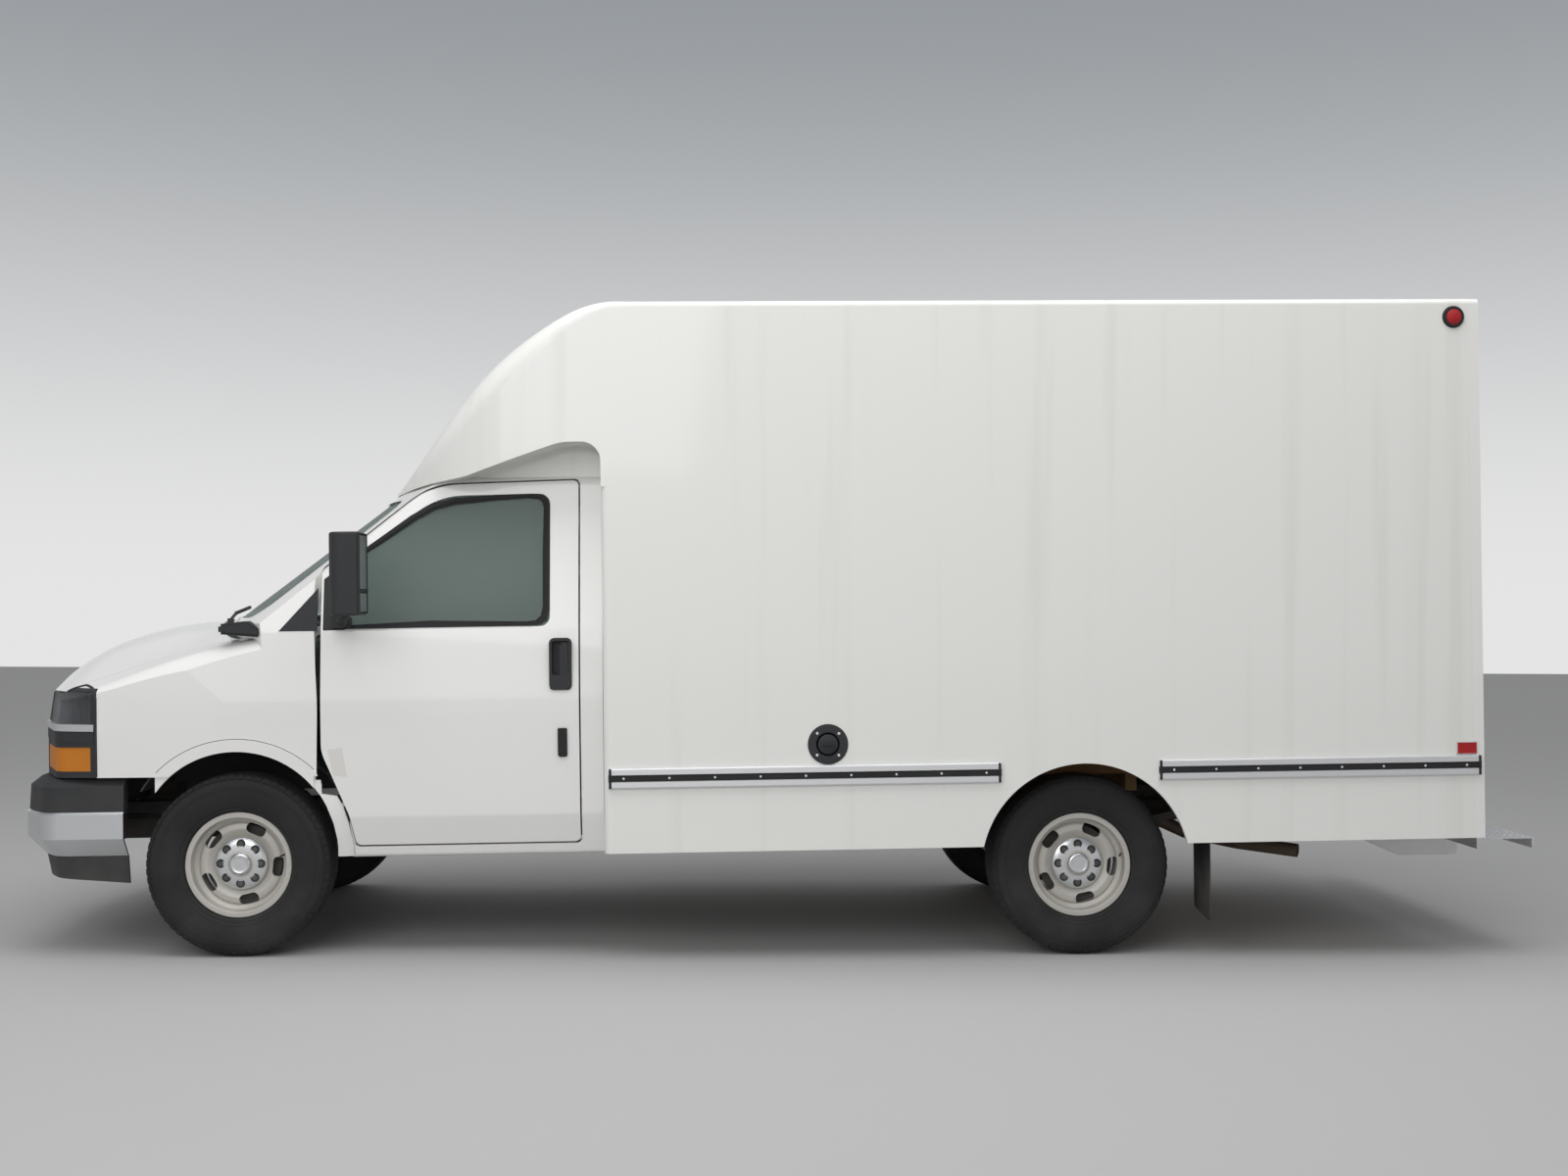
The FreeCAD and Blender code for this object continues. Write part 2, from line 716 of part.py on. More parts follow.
def lamp_zone(shrink=0.0):
    """The left front corner that the lamps fill."""
    return block(
        NOSE_X - 50, LAMP_REAR - shrink, -1100, -LAMP_INNER - shrink,
        FENDER_BOTTOM - 10 + shrink, LAMP_TOP - shrink
    )


def grille_zone(shrink=0.0):
    """The middle of the nose, between the lamps and below the hood."""
    half = LAMP_INNER - FIT - shrink
    low = FENDER_BOTTOM - 10 + shrink
    high = HOOD_FRONT_EDGE - HOOD_GAP - shrink
    return block(NOSE_X - 50, NOSE_X + 120, -half, half, low, high)


def arch_lip():
    """The raised lip round the left wheel opening."""
    ring = front_arch(ARCH_RADIUS + LIP_WIDTH).cut(front_arch(ARCH_RADIUS - 1))
    plan = prism("xy", front_plan(-LIP_RISE), ROCKER_BOTTOM, 1500)
    proud = cab_section(-LIP_RISE, NOSE_X, 600).common(plan)
    inside = cab_section(SKIN / 2, NOSE_X - 1, 601)
    return ring.common(proud).cut(inside)


def make_fender():
    """The left fender panel with its round wheel opening and lip."""
    skin = front_volume(0).cut(front_volume(SKIN))
    skin = skin.fuse(arch_lip().common(block(NOSE_X, 600, -1200, 0, FENDER_BOTTOM, 1500)))
    skin = skin.fuse(arch_lip().common(block(0, 600, -1200, 0, ROCKER_BOTTOM, FENDER_BOTTOM)))
    keep = block(NOSE_X - 50, 520, -1200, 0, 0, 1500)
    skin = skin.common(keep)
    behind = side_prism(door_outline(FENDER_REAR_GAP), 300)
    rear_line = block(DOOR_FRONT - FENDER_REAR_GAP, 600, -1200, 0, 740, 1500)
    strip_front = DOOR_FRONT - 30
    set_back = block(strip_front, 600, -1200, 0, 0, 740)
    set_back = set_back.cut(cab_section(STRIP_SET_BACK, strip_front - 1, 601))
    cuts = [hood_edge(HOOD_GAP), behind, rear_line, set_back, door_sweep()]
    cuts += [lamp_zone(-FIT), grille_zone(-FIT - 1)]
    cuts.append(block(FENDER_FOOT, 600, -1200, 0, 0, DOOR_BOTTOM + 40))
    cuts.append(block(NOSE_X - 50, 600, -HOOD_SPLIT - HOOD_GAP, 0, 0, 1500))
    return largest_solids(skin.cut(cuts).cut(front_arch(ARCH_RADIUS)), 1)


def make_wheel_liner():
    """The left inner arch: a round cover over the wheel with its inner wall."""
    radius = LINER_RADIUS
    reach = BAND_HALF_WIDTH - SKIN - 12
    zone = block(-radius - 1, radius + 1, -reach, -LINER_INNER, LINER_BOTTOM, 1000)
    cover = front_arch(radius).cut(front_arch(radius - LINER_WALL)).common(zone)
    wall = front_arch(radius).common(
        block(-radius - 1, radius + 1, -LINER_INNER - LINER_WALL, -LINER_INNER, LINER_BOTTOM, 1000)
    )
    liner = cover.fuse(wall).removeSplitter()
    inside_skin = front_volume(SKIN + FIT).cut(side_prism(door_outline(FENDER_REAR_GAP + 3), 300))
    return largest_solids(liner.common(inside_skin).cut(door_sweep()), 1)


def make_lamp_bezel():
    """The left black surround that carries the headlamp and the turn lamp."""
    zone = front_volume(0).cut(front_volume(LAMP_DEPTH)).common(lamp_zone())
    for low, high in ((HEADLAMP_LOW, HEADLAMP_HIGH), (TURN_LOW, TURN_HIGH)):
        zone = zone.cut(lamp_window(low, high, 0))
    return largest_solids(zone.cut(hood_edge(HOOD_GAP)), 1)


def lamp_window(low, high, shrink):
    return block(
        NOSE_X - 50, LAMP_REAR - LAMP_FRAME - shrink, -1100, -LAMP_INNER - LAMP_FRAME - shrink,
        low + shrink, high - shrink
    )


def make_lamp(low, high):
    """A left lamp unit that fills its window in the surround."""
    body = front_volume(3).cut(front_volume(LAMP_DEPTH - 6))
    return largest_solids(body.common(lamp_window(low, high, FIT)).cut(hood_edge(HOOD_GAP + FIT)), 1)


def make_grille():
    """A framed grille with level bars on upright ribs set a little back."""
    face = front_volume(0).cut(front_volume(GRILLE_DEPTH)).common(grille_zone())
    low = FENDER_BOTTOM + GRILLE_BORDER
    high = HOOD_FRONT_EDGE - HOOD_GAP - GRILLE_BORDER
    half = LAMP_INNER - GRILLE_BORDER
    hole = prism("yz", symmetric([(half, low, 20), (half, high, 20)]), NOSE_X - 60, NOSE_X + 150)
    frame = face.cut(hole)
    solids = [frame]
    pitch = (high - low) / (GRILLE_BARS + 1)
    for bar in range(GRILLE_BARS):
        centre = low + pitch * (bar + 1)
        solids.append(face.common(block(
            NOSE_X - 60, NOSE_X + 150, -half - 5, half + 5, centre - GRILLE_BAR / 2, centre + GRILLE_BAR / 2
        )))
    deep = front_volume(GRILLE_DEPTH * 0.4).cut(front_volume(GRILLE_DEPTH)).common(grille_zone())
    step = 2 * half / (GRILLE_RIBS + 1)
    for rib in range(GRILLE_RIBS):
        y = -half + step * (rib + 1)
        strip = block(NOSE_X - 60, NOSE_X + 150, y - GRILLE_RIB / 2, y + GRILLE_RIB / 2, low - 5, high + 5)
        solids.append(deep.common(strip))
    return largest_solids(join(solids), 1)


def make_radiator():
    """Radiator with its tanks, between the frame's front ends behind the grille."""
    core = block(RADIATOR_FRONT, RADIATOR_FRONT + RADIATOR_DEPTH, -560, 560, RAIL_TOP + FIT, 1050)
    for side in (-1, 1):
        core = core.fuse(block(
            RADIATOR_FRONT - 12, RADIATOR_FRONT + RADIATOR_DEPTH + 12,
            side * 510 - 50, side * 510 + 50, RAIL_TOP + FIT, 1062
        ))
    return core.removeSplitter()


def bumper_plan(inset):
    """The bumper seen from above: a bowed face that wraps round to the wheel arches."""
    half = [
        (BUMPER_FRONT + inset, 0, 4000),
        (BUMPER_FRONT + 62 + inset, 790 - inset / 2, 260),
        (-790 + inset / 2, BUMPER_HALF_WIDTH - 6 - inset, 110),
        (BUMPER_END, BUMPER_HALF_WIDTH - inset),
    ]
    mirrored = [(x, -y) + tuple(rest) for x, y, *rest in reversed(half[1:])]
    return half + mirrored


def tapered_ring(low, high, low_inset, high_inset, wall):
    """A bowed band whose face runs between two insets of the bumper's plan."""
    outer = Part.makeLoft([
        outline("xy", bumper_plan(low_inset), low), outline("xy", bumper_plan(high_inset), high)
    ], True, True)
    inner = Part.makeLoft([
        outline("xy", bumper_plan(low_inset + wall), low - 1),
        outline("xy", bumper_plan(high_inset + wall), high + 1),
    ], True, True)
    return outer.cut(inner)


def make_front_bumper():
    """Bright bumper: a face with a rolled top edge and a lower half that tucks under."""
    face = tapered_ring(BUMPER_KNEE, BUMPER_TOP - BUMPER_ROLL, 0, 0, BUMPER_WALL)
    roll = tapered_ring(BUMPER_TOP - BUMPER_ROLL, BUMPER_TOP, 0, BUMPER_ROLL, BUMPER_LEDGE)
    tuck = tapered_ring(BUMPER_BOTTOM, BUMPER_KNEE, BUMPER_TUCK, 0, BUMPER_WALL)
    brackets = []
    for side in (-1, 1):
        y = side * (RAIL_OUTER - RAIL_WIDTH / 2)
        brackets.append(
            block(BUMPER_FRONT + 12, FRAME_FRONT - FIT, y - 30, y + 30, RAIL_BOTTOM + 10, RAIL_TOP - 10)
        )
    outer = prism("xy", bumper_plan(BUMPER_WALL / 2), RAIL_BOTTOM, RAIL_TOP)
    mounts = [bracket.common(outer) for bracket in brackets]
    return largest_solids(join([face, roll, tuck] + mounts), 1)


def make_bumper_pad():
    """Black pad that fills the step between bumper and nose."""
    low = tapered_ring(PAD_BOTTOM, PAD_SHOULDER, 8, 14, 60)
    top = tapered_ring(PAD_SHOULDER, PAD_TOP, 14, 52, 52)
    pad = join([low, top])
    end = [(-392, PAD_TOP + 1), (-300, PAD_TOP + 1), (-300, PAD_BOTTOM - 1), (BUMPER_END, PAD_BOTTOM - 1)]
    return largest_solids(pad.cut(prism("xz", end, -1200, 1200)), 1)


def make_air_dam():
    """Black valance below the bumper, its lower edge rising towards the wheels."""
    dam = tapered_ring(DAM_BOTTOM, DAM_TOP, DAM_INSET, DAM_INSET - 22, 12)
    under = [
        (BUMPER_FRONT - 50, DAM_BOTTOM - 1), (-400, DAM_BOTTOM - 1), (-720, 318, 60), (BUMPER_FRONT - 50, 334),
    ]
    dam = dam.cut(prism("xz", under, -1200, 1200))
    return largest_solids(dam, 1)


def make_cowl():
    """Black cowl panel between hood and windscreen, bowed like both."""
    plan = hood_edge(COWL_DEPTH - 4).cut(hood_edge(HOOD_GAP + 1))
    band = plan.common(front_volume(4)).cut(front_volume(4 + SKIN))
    inside = block(SCREEN_BASE_X - 120, 400, -HOOD_SPLIT, HOOD_SPLIT, 1000, 1600)
    bosses = [wiper_boss(y, WIPER_BOSS + FIT) for y, reach in WIPERS]
    return largest_solids(band.common(inside).cut(cab_volume(-FIT)).cut(bosses), 1)


def load_section(station, low, inset):
    """A cross-section of the load body: upright sides, rounded shoulders and a crowned roof."""
    x, half, middle, rise, radius = station
    half -= inset
    shoulder = middle - inset - rise
    peak = shoulder + rise / CROWN_SHARE
    crown_radius = half * half / (2 * (peak - shoulder))
    bend = max(radius - inset, 6)
    return outline("yz", [
        (half, low), (half, shoulder, bend), (0, peak, crown_radius), (-half, shoulder, bend), (-half, low)
    ], x)


def nose_volume(inset):
    """The moulded nose of the box: a smooth body lofted through its rounded stations."""
    wires = []
    for index, station in enumerate(NOSE_STATIONS):
        x = station[0] + (inset * 1.2 if index == 0 else 0)
        wires.append(load_section((x,) + station[1:], NOSE_LOW + inset, inset))
    return Part.makeLoft(wires, True, False)


def load_volume(inset):
    """The whole load body with its nose, drawn in by the inset; inner ones run on through floor and rear."""
    overrun = 1 if inset > 0 else -REAR_FRAME_DEPTH
    low = BOX_BOTTOM - inset
    section = Part.Face(load_section(NOSE_STATIONS[-1], low, inset))
    behind = section.extrude(Vector(BOX_REAR + overrun - NOSE_REAR, 0, 0))
    half = BOX_HALF_WIDTH - inset
    below = block(BOX_FRONT + inset, NOSE_REAR, -half, half, low, NOSE_LOW + inset)
    if inset == 0:
        corners = [
            edge for edge in below.Edges
            if edge.BoundBox.ZLength > 1000 and edge.BoundBox.XMax < BOX_FRONT + 1
        ]
        below = below.makeFillet(BOX_EDGE, corners)
    whole = nose_volume(inset).fuse([behind, below])
    under = prism("xz", [
        (NOSE_STATIONS[0][0] - 100, NOSE_LOW - 100),
        (NOSE_STATIONS[0][0] - 100, NOSE_LOW + inset),
        (640, NOSE_LOW + 10 + inset, 200),
        (954, 1977 + inset, 400),
        (1360, NOSE_UNDERSIDE + inset, 260),
        (BOX_FRONT + inset, NOSE_UNDERSIDE + inset, 80),
        (BOX_FRONT + inset, NOSE_LOW - 100),
    ], -BOX_HALF_WIDTH - 50, BOX_HALF_WIDTH + 50)
    return whole.cut(under)


def box_volume(front, rear):
    """A length of the load body's outer shape, down to its bottom edge."""
    station = (front,) + NOSE_STATIONS[-1][1:]
    return Part.Face(load_section(station, BOX_BOTTOM, 0)).extrude(Vector(rear - front, 0, 0))


def rear_arch(radius, inner):
    """The round wheel opening in the left side of the box."""
    centre = Vector(rear_hub().x, -BOX_HALF_WIDTH - 20, rear_hub().z)
    return Part.makeCylinder(radius, BOX_HALF_WIDTH + 20 - inner, centre, Vector(0, 1, 0))


def rear_hub():
    """The rear wheel centre in the body's own, level frame."""
    rake = math.radians(BODY_RAKE)
    return Vector(WHEELBASE * math.cos(rake), 0, HUB_HEIGHT - WHEELBASE * math.sin(rake))


def make_box_shell():
    """One-piece load body: sides, roof, front wall and the nose over the cab."""
    hollow = load_volume(BOX_WALL)
    under = block(
        BOX_FRONT - 1, BOX_FRONT + BOX_WALL + 1, -FRONT_SKIRT_INNER, FRONT_SKIRT_INNER,
        BOX_BOTTOM - 1, BOX_FLOOR - FLOOR_BOARD
    )
    body = load_volume(0).cut([hollow, under])
    neck = pair(neck_wall().cut(hollow))
    body = body.fuse(neck.Solids).cut(cab_volume(-FIT))
    arches = both_sides(rear_arch(REAR_ARCH_RADIUS, BOX_HALF_WIDTH - BOX_WALL - 1))
    body = body.cut(arches + both_sides(filler_bore(FILLER_RADIUS + FIT)))
    return largest_solids(body, 1)


def neck_wall():
    """The set-back wall between the left edge of the cab roof and the nose's underside."""
    outer = RAIL_HALF_WIDTH - 20
    return block(NECK_FRONT, BOX_FRONT + 2, -outer, -outer + NECK_WALL, RAIL_HEIGHT - 80, NOSE_UNDERSIDE + 10)


def filler_bore(radius):
    return Part.makeCylinder(
        radius, BOX_WALL + 40, Vector(FILLER_X, -BOX_HALF_WIDTH - 20, FILLER_Z), Vector(0, 1, 0)
    )


def make_fuel_filler():
    """Round filler recess in the left side with its cap at the bottom."""
    face = -BOX_HALF_WIDTH
    cup = Part.makeCylinder(FILLER_RADIUS, 70, Vector(FILLER_X, face - 3, FILLER_Z), Vector(0, 1, 0))
    outside = Vector(FILLER_X, face - 3, FILLER_Z)
    flange = Part.makeCylinder(FILLER_RADIUS + 4, 3 - FIT, outside, Vector(0, 1, 0))
    bore = Part.makeCylinder(FILLER_RADIUS - 22, 60, Vector(FILLER_X, face - 4, FILLER_Z), Vector(0, 1, 0))
    cap = Part.makeCylinder(34, 40, Vector(FILLER_X, face + 26, FILLER_Z), Vector(0, 1, 0))
    grip = block(FILLER_X - 8, FILLER_X + 8, face + 12, face + 40, FILLER_Z - 30, FILLER_Z + 30)
    return join([cup.fuse(flange).cut(bore), cap, grip])


def make_box_floor():
    """Plank floor on cross sills, with a housing over each rear wheel."""
    half = BOX_HALF_WIDTH - BOX_WALL - FIT
    start = BOX_FRONT + BOX_WALL + FIT
    end = BOX_REAR - REAR_FRAME_DEPTH - FIT
    floor = block(start, end, -half, half, BOX_FLOOR - FLOOR_BOARD, BOX_FLOOR)
    hub = rear_hub()
    long_half = WHEEL_BOX_LENGTH / 2
    solids = [floor]
    rooms = []
    for side in (-1, 1):
        inner = side * WHEEL_BOX_INNER
        outer = side * half
        y0, y1 = sorted((inner, outer))
        low = BOX_FLOOR - FLOOR_BOARD
        solids.append(block(hub.x - long_half, hub.x + long_half, y0, y1, low, WHEEL_BOX_TOP))
        y0, y1 = sorted((inner + side * WHEEL_BOX_WALL, outer + side))
        rooms.append(block(
            hub.x - long_half + WHEEL_BOX_WALL, hub.x + long_half - WHEEL_BOX_WALL, y0, y1,
            0, WHEEL_BOX_TOP - WHEEL_BOX_WALL
        ))
    step = (end - start - SILL_WIDTH) / (SILL_COUNT - 1)
    for sill in range(SILL_COUNT):
        x = start + step * sill
        over_wheel = abs(x + SILL_WIDTH / 2 - hub.x) < long_half + SILL_WIDTH
        reach = WHEEL_BOX_INNER if over_wheel else half
        solids.append(block(x, x + SILL_WIDTH, -reach, reach, RAIL_TOP + FIT, BOX_FLOOR - FLOOR_BOARD))
    return largest_solids(join(solids).cut(rooms), 1)


def make_rear_frame():
    """The frame round the rear doors, with its sill and the hinge pins' lugs."""
    frame = box_volume(BOX_REAR - REAR_FRAME_DEPTH + FIT, BOX_REAR)
    frame = frame.cut(block(
        BOX_REAR - 100, BOX_REAR + 10,
        -REAR_OPENING_HALF, REAR_OPENING_HALF, REAR_OPENING_LOW, REAR_OPENING_HIGH
    ))
    return largest_solids(frame, 1)


def make_rear_door():
    """The left rear door with its hinge straps and lock rod."""
    half = REAR_OPENING_HALF - REAR_DOOR_GAP
    low = REAR_OPENING_LOW + REAR_DOOR_GAP
    high = REAR_OPENING_HIGH - REAR_DOOR_GAP
    face = BOX_REAR - 4
    panel = block(face - REAR_DOOR_WALL, face, -half, -REAR_DOOR_GAP / 2, low, high)
    solids = [panel]
    step = (high - low - 300) / (REAR_HINGES - 1)
    for hinge in range(REAR_HINGES):
        z = low + 150 + step * hinge
        solids.append(block(face - 1, REAR_HINGE_X - 4, -half - 2, -half + 190, z - 24, z + 24))
        strap = block(REAR_HINGE_X - HINGE_PIN, REAR_HINGE_X, -REAR_HINGE_Y, -half + 40, z - 24, z + 24)
        solids.append(strap)
        solids.append(Part.makeCylinder(HINGE_PIN, 48, Vector(REAR_HINGE_X, -REAR_HINGE_Y, z - 24)))
    rod_y = -150.0
    solids.append(Part.makeCylinder(11, high - low - 20, Vector(face + 16, rod_y, low + 10)))
    for guide in range(4):
        z = low + 60 + (high - low - 120) * guide / 3
        solids.append(block(face - 1, face + 16, rod_y - 24, rod_y + 24, z - 20, z + 20))
    solids.append(block(face + 8, face + 22, rod_y - 260, rod_y, 1180, 1206))
    return largest_solids(join(solids), 1)


def make_rub_rail(start, end):
    """A channel rail along the box side with a groove for its insert."""
    face = -BOX_HALF_WIDTH - FIT
    section = [
        (face, RUB_LOW), (face, RUB_HIGH), (face - RUB_DEPTH, RUB_HIGH, 7),
        (face - RUB_DEPTH, RUB_HIGH - 27), (face - RUB_DEPTH + 7, RUB_HIGH - 30),
        (face - RUB_DEPTH + 7, RUB_LOW + 30), (face - RUB_DEPTH, RUB_LOW + 27), (face - RUB_DEPTH, RUB_LOW, 7),
    ]
    return prism("yz", section, start, end)


def make_rub_rails():
    rails = []
    for start, end in RUB_SPANS:
        rails += both_sides(make_rub_rail(start, end))
    return Part.makeCompound(rails)


def make_marker_lamps():
    """Round clearance lamps high on the sides and the nose, and the side reflectors."""
    solids = []
    for x, z in ((5127.0, 2613.0),):
        lamp = Part.makeCylinder(43, 10, Vector(x, -BOX_HALF_WIDTH - FIT, z), Vector(0, -1, 0))
        lens = Part.makeSphere(60, Vector(x, -BOX_HALF_WIDTH + 40, z)).common(
            Part.makeCylinder(31, 40, Vector(x, -BOX_HALF_WIDTH - 9, z), Vector(0, -1, 0)))
        solids += both_sides(lamp.fuse(lens))
    face = -BOX_HALF_WIDTH - FIT
    reflector = block(5117, 5201, face - REFLECTOR_DEPTH, face, RUB_HIGH + 4, RUB_HIGH + 54)
    solids += both_sides(reflector)
    return Part.makeCompound(solids)


def make_tail_lamps():
    """Two round stop lamps and a clear lamp each side, in the sill below the doors."""
    solids = []
    for y, radius in ((960.0, 52.0), (830.0, 52.0), (700.0, 36.0)):
        lamp = Part.makeCylinder(radius, 12, Vector(BOX_REAR + FIT, -y, 560), Vector(1, 0, 0))
        solids += both_sides(lamp)
    for y in (-170.0, 0.0, 170.0):
        solids.append(Part.makeCylinder(28, 10, Vector(BOX_REAR + FIT, y, 2652), Vector(1, 0, 0)))
    return Part.makeCompound(solids)


def make_rear_step():
    """Full-width step plank on two brackets from the frame's rear ends."""
    plank = block(BOX_REAR + 20, STEP_REAR, -STEP_HALF, STEP_HALF, STEP_BOTTOM, STEP_TOP)
    plank = plank.cut(block(
        BOX_REAR + 26, STEP_REAR - 6, -STEP_HALF - 1, STEP_HALF + 1, STEP_BOTTOM - 1, STEP_TOP - 5
    ))
    plate = [(4925, 430), (4925, 330, 20), (5120, 242, 20), (STEP_REAR - 110, 242, 20),
             (STEP_REAR - 110, STEP_TOP - 20), (5150, STEP_TOP - 20), (5060, 430)]
    solids = [plank]
    for side in (-1, 1):
        y = side * (RAIL_OUTER - RAIL_WIDTH / 2)
        bracket = prism("xz", plate, y - 5, y + 5)
        shelf = block(BOX_REAR + 26, STEP_REAR - 110, y - 30, y + 30, STEP_TOP - 12, STEP_TOP - 5)
        foot = block(4925, 5060, y - 36, y + 36, RAIL_BOTTOM - FIT - 10, RAIL_BOTTOM - FIT)
        solids += [bracket, shelf, foot]
    return largest_solids(join(solids), 1)


def make_mud_flaps():
    """A rubber flap behind each rear wheel, hung from the floor."""
    flap = prism(
        "yz",
        [(-1010, 640), (-1010, 60, 25), (-770, 90, 25), (-770, 640)],
        4074, 4080,
    )
    hanger = block(4074 - 24, 4074 + 24, -1015, -765, 600, BOX_FLOOR - FLOOR_BOARD - FIT)
    return pair(flap.fuse(hanger).removeSplitter())


def channel(start, end, side):
    """One frame rail, a channel open to the inside."""
    outer = side * RAIL_OUTER
    inner = side * (RAIL_OUTER - RAIL_WIDTH)
    y0, y1 = sorted((outer, inner))
    rail = block(start, end, y0, y1, RAIL_BOTTOM, RAIL_TOP)
    y0, y1 = sorted((outer - side * RAIL_WALL, inner - side))
    return rail.cut(block(start - 1, end + 1, y0, y1, RAIL_BOTTOM + RAIL_WALL, RAIL_TOP - RAIL_WALL))


def make_chassis_frame():
    """Ladder frame: two channel rails and their crossmembers."""
    solids = [channel(FRAME_FRONT, FRAME_REAR, side) for side in (-1, 1)]
    reach = RAIL_OUTER - RAIL_WALL
    for x in CROSSMEMBERS:
        high = RAIL_TOP - RAIL_WALL / 2
        solids.append(block(x - 45, x + 45, -reach, reach, high - CROSSMEMBER_HEIGHT, high))
    return largest_solids(join(solids), 1)


def kingpin_y():
    return TRACK / 2 - KINGPIN_OFFSET


def make_front_suspension():
    """Crossmember, upper and lower arms and coil towers of both front wheels."""
    solids = [block(-70, 70, -RAIL_OUTER + 100, RAIL_OUTER - 100, HUB_HEIGHT - 60, HUB_HEIGHT + 20)]
    ball = kingpin_y()
    for side in (-1, 1):
        for drop, spread in ((-KNUCKLE_HALF - BALL_DROP, 150), (KNUCKLE_HALF + BALL_DROP, 90)):
            height = HUB_HEIGHT + drop
            for fore in (-1, 1):
                inner = Vector(fore * spread, side * (RAIL_OUTER + 20), height)
                solids.append(rod(inner, Vector(0, side * ball, height), 16))
            bar = Vector(-spread - 20, side * (RAIL_OUTER + 20), height)
            solids.append(rod(bar, bar + Vector(2 * spread + 40, 0, 0), 18))
            seat = Vector(0, side * ball, height - BALL_HALF)
            solids.append(Part.makeCylinder(BALL_RADIUS, 2 * BALL_HALF, seat))
        tower = block(
            -110, 110, min(side * (RAIL_OUTER + FIT), side * (RAIL_OUTER + 24)),
            max(side * (RAIL_OUTER + FIT), side * (RAIL_OUTER + 24)),
            HUB_HEIGHT - KNUCKLE_HALF - 40, HUB_HEIGHT + KNUCKLE_HALF + 44
        )
        solids.append(tower)
        y0, y1 = sorted((side * (RAIL_OUTER - 110), side * (RAIL_OUTER + 10)))
        solids.append(block(-70, 70, y0, y1, HUB_HEIGHT - 60, RAIL_BOTTOM - FIT))
    return largest_solids(join(solids), 1)


def make_knuckle(side):
    """Steering knuckle with its spindle, turning between the ball joints."""
    pin = kingpin_y()
    reach = KNUCKLE_HALF + BALL_DROP - BALL_HALF - BALL_PLAY
    post = Part.makeCylinder(BALL_RADIUS, 2 * reach, Vector(0, side * pin, HUB_HEIGHT - reach))
    y0, y1 = sorted((side * pin, side * (TRACK / 2 + 20)))
    spindle = Part.makeCylinder(
        28, y1 - y0, Vector(0, side * pin, HUB_HEIGHT), Vector(0, side, 0)
    )
    disc = Part.makeCylinder(150, 26, Vector(0, side * (pin + 26), HUB_HEIGHT), Vector(0, side, 0))
    arm = rod(Vector(0, side * pin, HUB_HEIGHT - 60), Vector(150, side * (pin - 40), HUB_HEIGHT - 60), 14)
    return largest_solids(join([post, spindle, disc, arm]), 1)


def make_rear_axle():
    """Beam axle with its differential, leaf springs and their hangers."""
    hub = rear_hub()
    centre = Vector(hub.x, 0, hub.z)
    half = TRACK / 2 - 40
    tube = rod(centre + Vector(0, -half, 0), centre + Vector(0, half, 0), 48)
    pumpkin = Part.makeSphere(165, centre)
    nose = rod(centre, centre + Vector(-270, 0, 10), 62)
    stub = rod(centre + Vector(0, -TRACK / 2 - 20, 0), centre + Vector(0, TRACK / 2 + 20, 0), 28)
    solids = [tube, pumpkin, nose, stub]
    for side in (-1, 1):
        y = side * SPRING_Y
        drum = centre + Vector(0, side * (half - 40), 0)
        solids.append(Part.makeCylinder(150, 30, drum, Vector(0, side, 0)))
        solids.append(leaf_spring(y))
    return largest_solids(join(solids), 1)


def leaf_spring(y):
    """A pack of curved leaves clamped over the axle, its eyes on hangers at the rail."""
    hub = rear_hub()
    base = hub.z + 48
    half = SPRING_HALF
    top = base + SPRING_SAG
    low = Part.Arc(Vector(hub.x - half, y, top), Vector(hub.x, y, base), Vector(hub.x + half, y, top))
    high = Part.Arc(
        Vector(hub.x + half, y, top + 14), Vector(hub.x, y, base + 60), Vector(hub.x - half, y, top + 14)
    )
    edges = [
        low.toShape(),
        Part.LineSegment(Vector(hub.x + half, y, top), Vector(hub.x + half, y, top + 14)).toShape(),
        high.toShape(),
        Part.LineSegment(Vector(hub.x - half, y, top + 14), Vector(hub.x - half, y, top)).toShape(),
    ]
    leaves = Part.Face(Part.Wire(edges)).extrude(Vector(0, LEAF_WIDTH, 0))
    leaves.translate(Vector(0, -LEAF_WIDTH / 2, 0))
    clamp = block(hub.x - 60, hub.x + 60, y - 50, y + 50, base - 110, base + 66)
    solids = [leaves, clamp]
    return join(solids)


def make_engine():
    """Engine as one plain block, with its gearbox and the drive shaft to the rear axle."""
    body = block(-560, 330, -ENGINE_HALF, ENGINE_HALF, RAIL_TOP, 1060)
    sump = block(-500, 280, -160, 160, HUB_HEIGHT + 40, RAIL_TOP + 30)
    gearbox = Part.makeCone(190, 100, 860, Vector(220, 0, 530), Vector(1, 0, -0.05))
    gearbox = gearbox.common(block(200, 1200, -300, 300, 0, CAB_FLOOR - CAB_FLOOR_WALL - 6))
    hub = rear_hub()
    tail = Vector(hub.x - 300, 0, hub.z + 10)
    shaft = rod(Vector(1050, 0, 490), tail, 44)
    reach = RAIL_OUTER - RAIL_WIDTH - FIT
    mounts = block(-120, -40, -reach, reach, RAIL_TOP - 90, RAIL_TOP + 8)
    return largest_solids(join([body, sump, gearbox, shaft, mounts]), 1)


def bent_pipe(points, radius):
    """A pipe along straight runs with round elbows."""
    solids = []
    for start, end in zip(points, points[1:]):
        solids.append(rod(start, end, radius))
    for elbow in points[1:-1]:
        solids.append(Part.makeSphere(radius, elbow))
    return join(solids)


